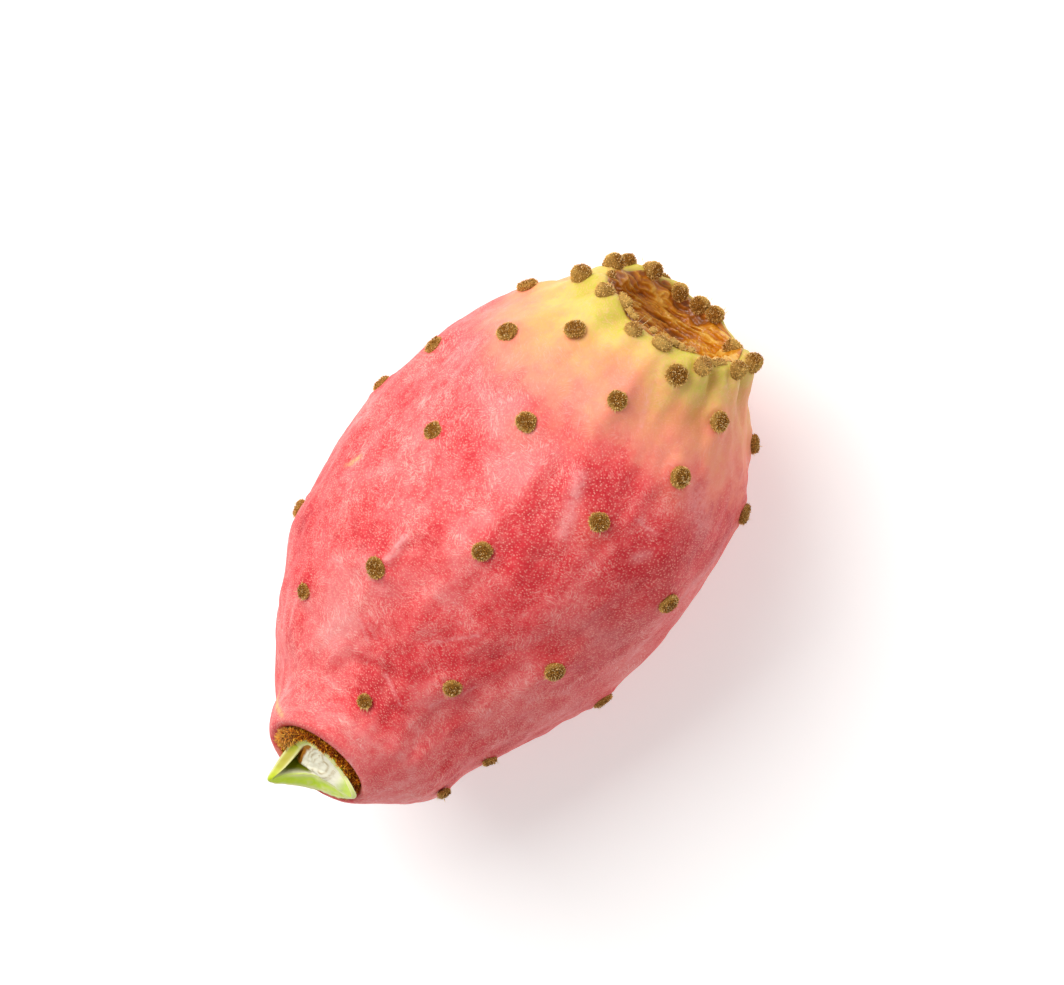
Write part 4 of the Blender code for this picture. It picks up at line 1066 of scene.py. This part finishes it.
def sliceMaterial():
    # fresh cactus pad: moist green skin, and where it was cut cream edges over white flesh
    material, tree, shader = startMaterial("cutCactusPad", Roughness=0.4, Specular_IOR_Level=0.2)
    place = addNode(tree, "ShaderNodeTexCoord", None, "Object")
    flap, cream, flesh, arc, hollow, rust = readValues(
        tree, "flap", "cream", "flesh", "arc", "hollow", "rust")
    fog = addNode(tree, "ShaderNodeTexNoise", {"Vector": place, "Scale": perMetre(1.1), "Detail": 5.0})
    patch = addNode(tree, "ShaderNodeMapRange", {"Value": fog, "From Min": 0.42, "From Max": 0.68,
                    "To Max": 0.45})
    frayed = worked(tree, fog, ('MULTIPLY_ADD', 0.9, rust))
    frayed = addNode(tree, "ShaderNodeMapRange", {"Value": frayed, "From Min": 0.8, "From Max": 1.15})
    # the hollow's dark olive is partly its inner skin's own green and partly painted shade
    colour = layered(tree, linear("#d0f010"), (patch, "#e8f84a"), (flap, "#c8be4c"), (flesh, "#fffae0"),
                     (arc, "#c8b488"), (cream, "#f8f4b4"), (hollow, "#7a8404"), (frayed, "#b0701c"))
    bump = addNode(tree, "ShaderNodeBump", {"Height": fog, "Strength": 0.7, "Distance": 0.2 * mm})
    feedShader(tree, shader, {"Base Color": colour, "Normal": bump})
    return material


def makeSlice():
    outer, inner = np.array(cutSlice["outer"]), np.array(cutSlice["inner"])
    flesh = np.array(cutSlice["flesh"])
    depth = np.array(cutSlice["hollow"])
    out = np.array([0.0, 0.0, 1.0])
    floor = inner + (flesh - inner) * cutSlice["shelf"] - depth[:, None] * out
    flat = outer * (1, 1, 0)
    away = np.linalg.norm(flat, axis=1)[:, None]
    neck = flat / away * cutSlice["neck"][0] + cutSlice["neck"][1] * out
    foot = flat / away * cutSlice["foot"][0] + cutSlice["foot"][1] * out
    under = flat * np.minimum(1.0, cutSlice["turn"] / away) + (outer[:, 2:] - cutSlice["skin"]) * out
    hollowness = (depth / depth.max())[:, None]
    least, most = cutSlice["wallIn"]
    wallIn = least + (most - least) * hollowness
    wallUp = wallIn + (cutSlice["wallUp"] - wallIn) * np.minimum(cutSlice["wallSteep"] * hollowness, 1.0)
    middle = floor + (flesh - floor) * np.concatenate([wallIn, wallIn, wallUp], axis=1)
    rings = [splineThrough(ring, cutSlice["steps"], closed=True)
             for ring in (foot, neck, under, outer, inner, floor, middle)]
    rings.append(np.broadcast_to(flesh, rings[0].shape))
    rows, stage = [], []
    for i, steps in enumerate(cutSlice["between"]):
        for k in range(steps):
            rows.append(rings[i] + (rings[i + 1] - rings[i]) * k / steps)
            stage.append(i + k / steps)
    rows = np.array(rows)
    stage = np.array(stage)[:, None]
    column = np.arange(rows.shape[1])[None, :] / cutSlice["steps"]
    deep = np.interp(column, np.arange(len(depth) + 1), [*depth, depth[0]])

    def near(label, value):
        at, spread = cutSlice[label]
        return hump(value - at, spread)

    def past(label, value):
        return smoothShare(value, *cutSlice[label])

    onFace = band(stage, *cutSlice["face"])
    innerEdge = near("innerEdge", stage) * past("offGap", np.abs(column - cutSlice["creamGap"]))
    edge = near("outerEdge", stage) + innerEdge
    fromThin = np.minimum(np.abs(column - cutSlice["thinAt"]), cutSlice["thinReach"]) - cutSlice["thinHalf"]
    thin = hump(fromThin, cutSlice["thinSpread"]) * onFace * (column < cutSlice["thinEnd"])
    tip = near("tip", column) + near("tip", column - len(depth))
    x, y = rows[..., 0], rows[..., 1]
    bumps = lumpsOver(rows, cutSlice["bumpSize"])
    waver = cutSlice["strandWaver"] * bumps
    away = [np.hypot(x - a + waver, cutSlice["strandOval"] * (y - b)) - radius
            for (a, b), radius in cutSlice["strands"]]
    plain, least = cutSlice["strandShow"]
    arcs = np.max(hump(np.array(away), cutSlice["strandWide"]), axis=0) * np.clip(plain + bumps, least, 1.0)
    inFlesh = past("fleshFrom", stage) * (1 - cutSlice["green"] * past("greenFrom", x))
    # partly painted shade: dark olive over the hollow where it is deep enough
    hollow = band(stage, *cutSlice["hollowRings"]) * past("deepEnough", deep)
    rust = near("rust", x) * band(y, *cutSlice["rustUp"]) * past("rustFrom", stage)
    rust = rust + cutSlice["edgeRust"] * near("rustEdge", column) * onFace
    rust = rust + past("wallDeep", deep) * band(stage, *cutSlice["wallTop"]) * (x < cutSlice["wallSide"])
    more, most = cutSlice["raggedFray"]
    ragged = np.clip(bumps + more, 0.0, most) * near("ragged", stage) * past("raggedFrom", column)
    rows[..., 2] += cutSlice["bumpRise"] * bumps * past("bumpsFrom", stage)
    values = {
        "flap": near("flap", column) * onFace, "flesh": inFlesh, "arc": arcs * inFlesh * (1 - hollow),
        "cream": np.clip(cutSlice["edgeCream"] * edge * onFace + cutSlice["thinCream"] * thin
                         + cutSlice["tipCream"] * tip * onFace + cutSlice["raggedCream"] * ragged, 0, 1),
        "hollow": np.clip(hollow, 0, 1), "rust": cutSlice["rustiness"] * np.clip(rust, 0, 1),
    }
    poles = (onScar([0, 0, cutSlice["foot"][1]]), onScar(flesh))
    mesh = surfaceOf("padSlice", onScar(rows), poles, values=values)
    piece = pieceOf("padSlice", mesh, sliceMaterial())
    finishPiece(piece, ["pad_slice"])


# The stage: a pale floor, soft studio light from the upper left, and the camera of the photograph

studio = {
    "tableColour": "#f6f5f3", "tableGlow": 0.3, "tableReach": 2.0, "tableDrop": 0.0001, "world": 0.38,
    "lens": 150.0, "sensor": 36.0, "clip": (0.05, 10.0), "distance": 576.33, "elevation": 77.0, "roll": 38.77,
    "target": (7.189, 0.157, 22.284),
    # each lamp's place from the fruit, as the camera sees it (right, up, towards it), size and power
    "lamps": {"key": ((-0.6, 0.55, 1.0), 0.9, 15.0), "fill": ((0.9, -0.2, 0.9), 1.0, 1.3),
              "rear": ((-0.1, 1.1, 0.5), 0.8, 2.0)},
}


def makeStage():
    table = bpy.data.meshes.new("table")
    side, low = studio["tableReach"], -studio["tableDrop"]
    table.from_pydata([(-side, -side, low), (side, -side, low), (side, side, low), (-side, side, low)], [],
                      [(0, 1, 2, 3)])
    # a light table, as cut-out pictures are taken on
    material, _, _ = startMaterial("paleTable", Base_Color=linear(studio["tableColour"]), Roughness=0.7,
                                   Emission_Color=linear("#ffffff"), Emission_Strength=studio["tableGlow"])
    pieceOf("table", table, material)

    elevation, roll = math.radians(studio["elevation"]), math.radians(studio["roll"])
    back = Vector((math.cos(elevation), 0.0, math.sin(elevation)))
    axis = Vector((math.sin(elevation), 0.0, -math.cos(elevation)))
    side = Vector((0.0, -1.0, 0.0))
    right = math.sin(roll) * axis + math.cos(roll) * side
    upward = math.cos(roll) * axis - math.sin(roll) * side
    target = Vector(studio["target"]) * mm
    eye = bpy.data.objects.new("camera", bpy.data.cameras.new("camera"))
    eye.data.lens, eye.data.sensor_width = studio["lens"], studio["sensor"]
    eye.data.clip_start, eye.data.clip_end = studio["clip"]
    eye.matrix_world = (Matrix.Translation(target + back * studio["distance"] * mm)
                        @ Matrix((right, upward, back)).transposed().to_4x4())
    bpy.context.scene.collection.objects.link(eye)
    bpy.context.scene.camera = eye

    for name, (aside, size, power) in studio["lamps"].items():
        place = right * aside[0] + upward * aside[1] + back * aside[2]
        light = bpy.data.lights.new(name, 'AREA')
        light.shape, light.size, light.energy = 'SQUARE', size, power
        lamp = bpy.data.objects.new(name, light)
        lamp.location = target + place
        lamp.rotation_euler = place.to_track_quat('Z', 'Y').to_euler()
        bpy.context.scene.collection.objects.link(lamp)
    world = bpy.data.worlds.new("studio")
    world.use_nodes = True
    sky = world.node_tree.nodes["Background"].inputs
    sky["Color"].default_value = linear("#ffffff")
    sky["Strength"].default_value = studio["world"]
    bpy.context.scene.world = world
    bpy.context.scene.view_settings.view_transform = 'Standard'


makeStage()
makeRind()
makeAreoles()
makeGlochids()
makeBed()
makeWool()
makeSlice()
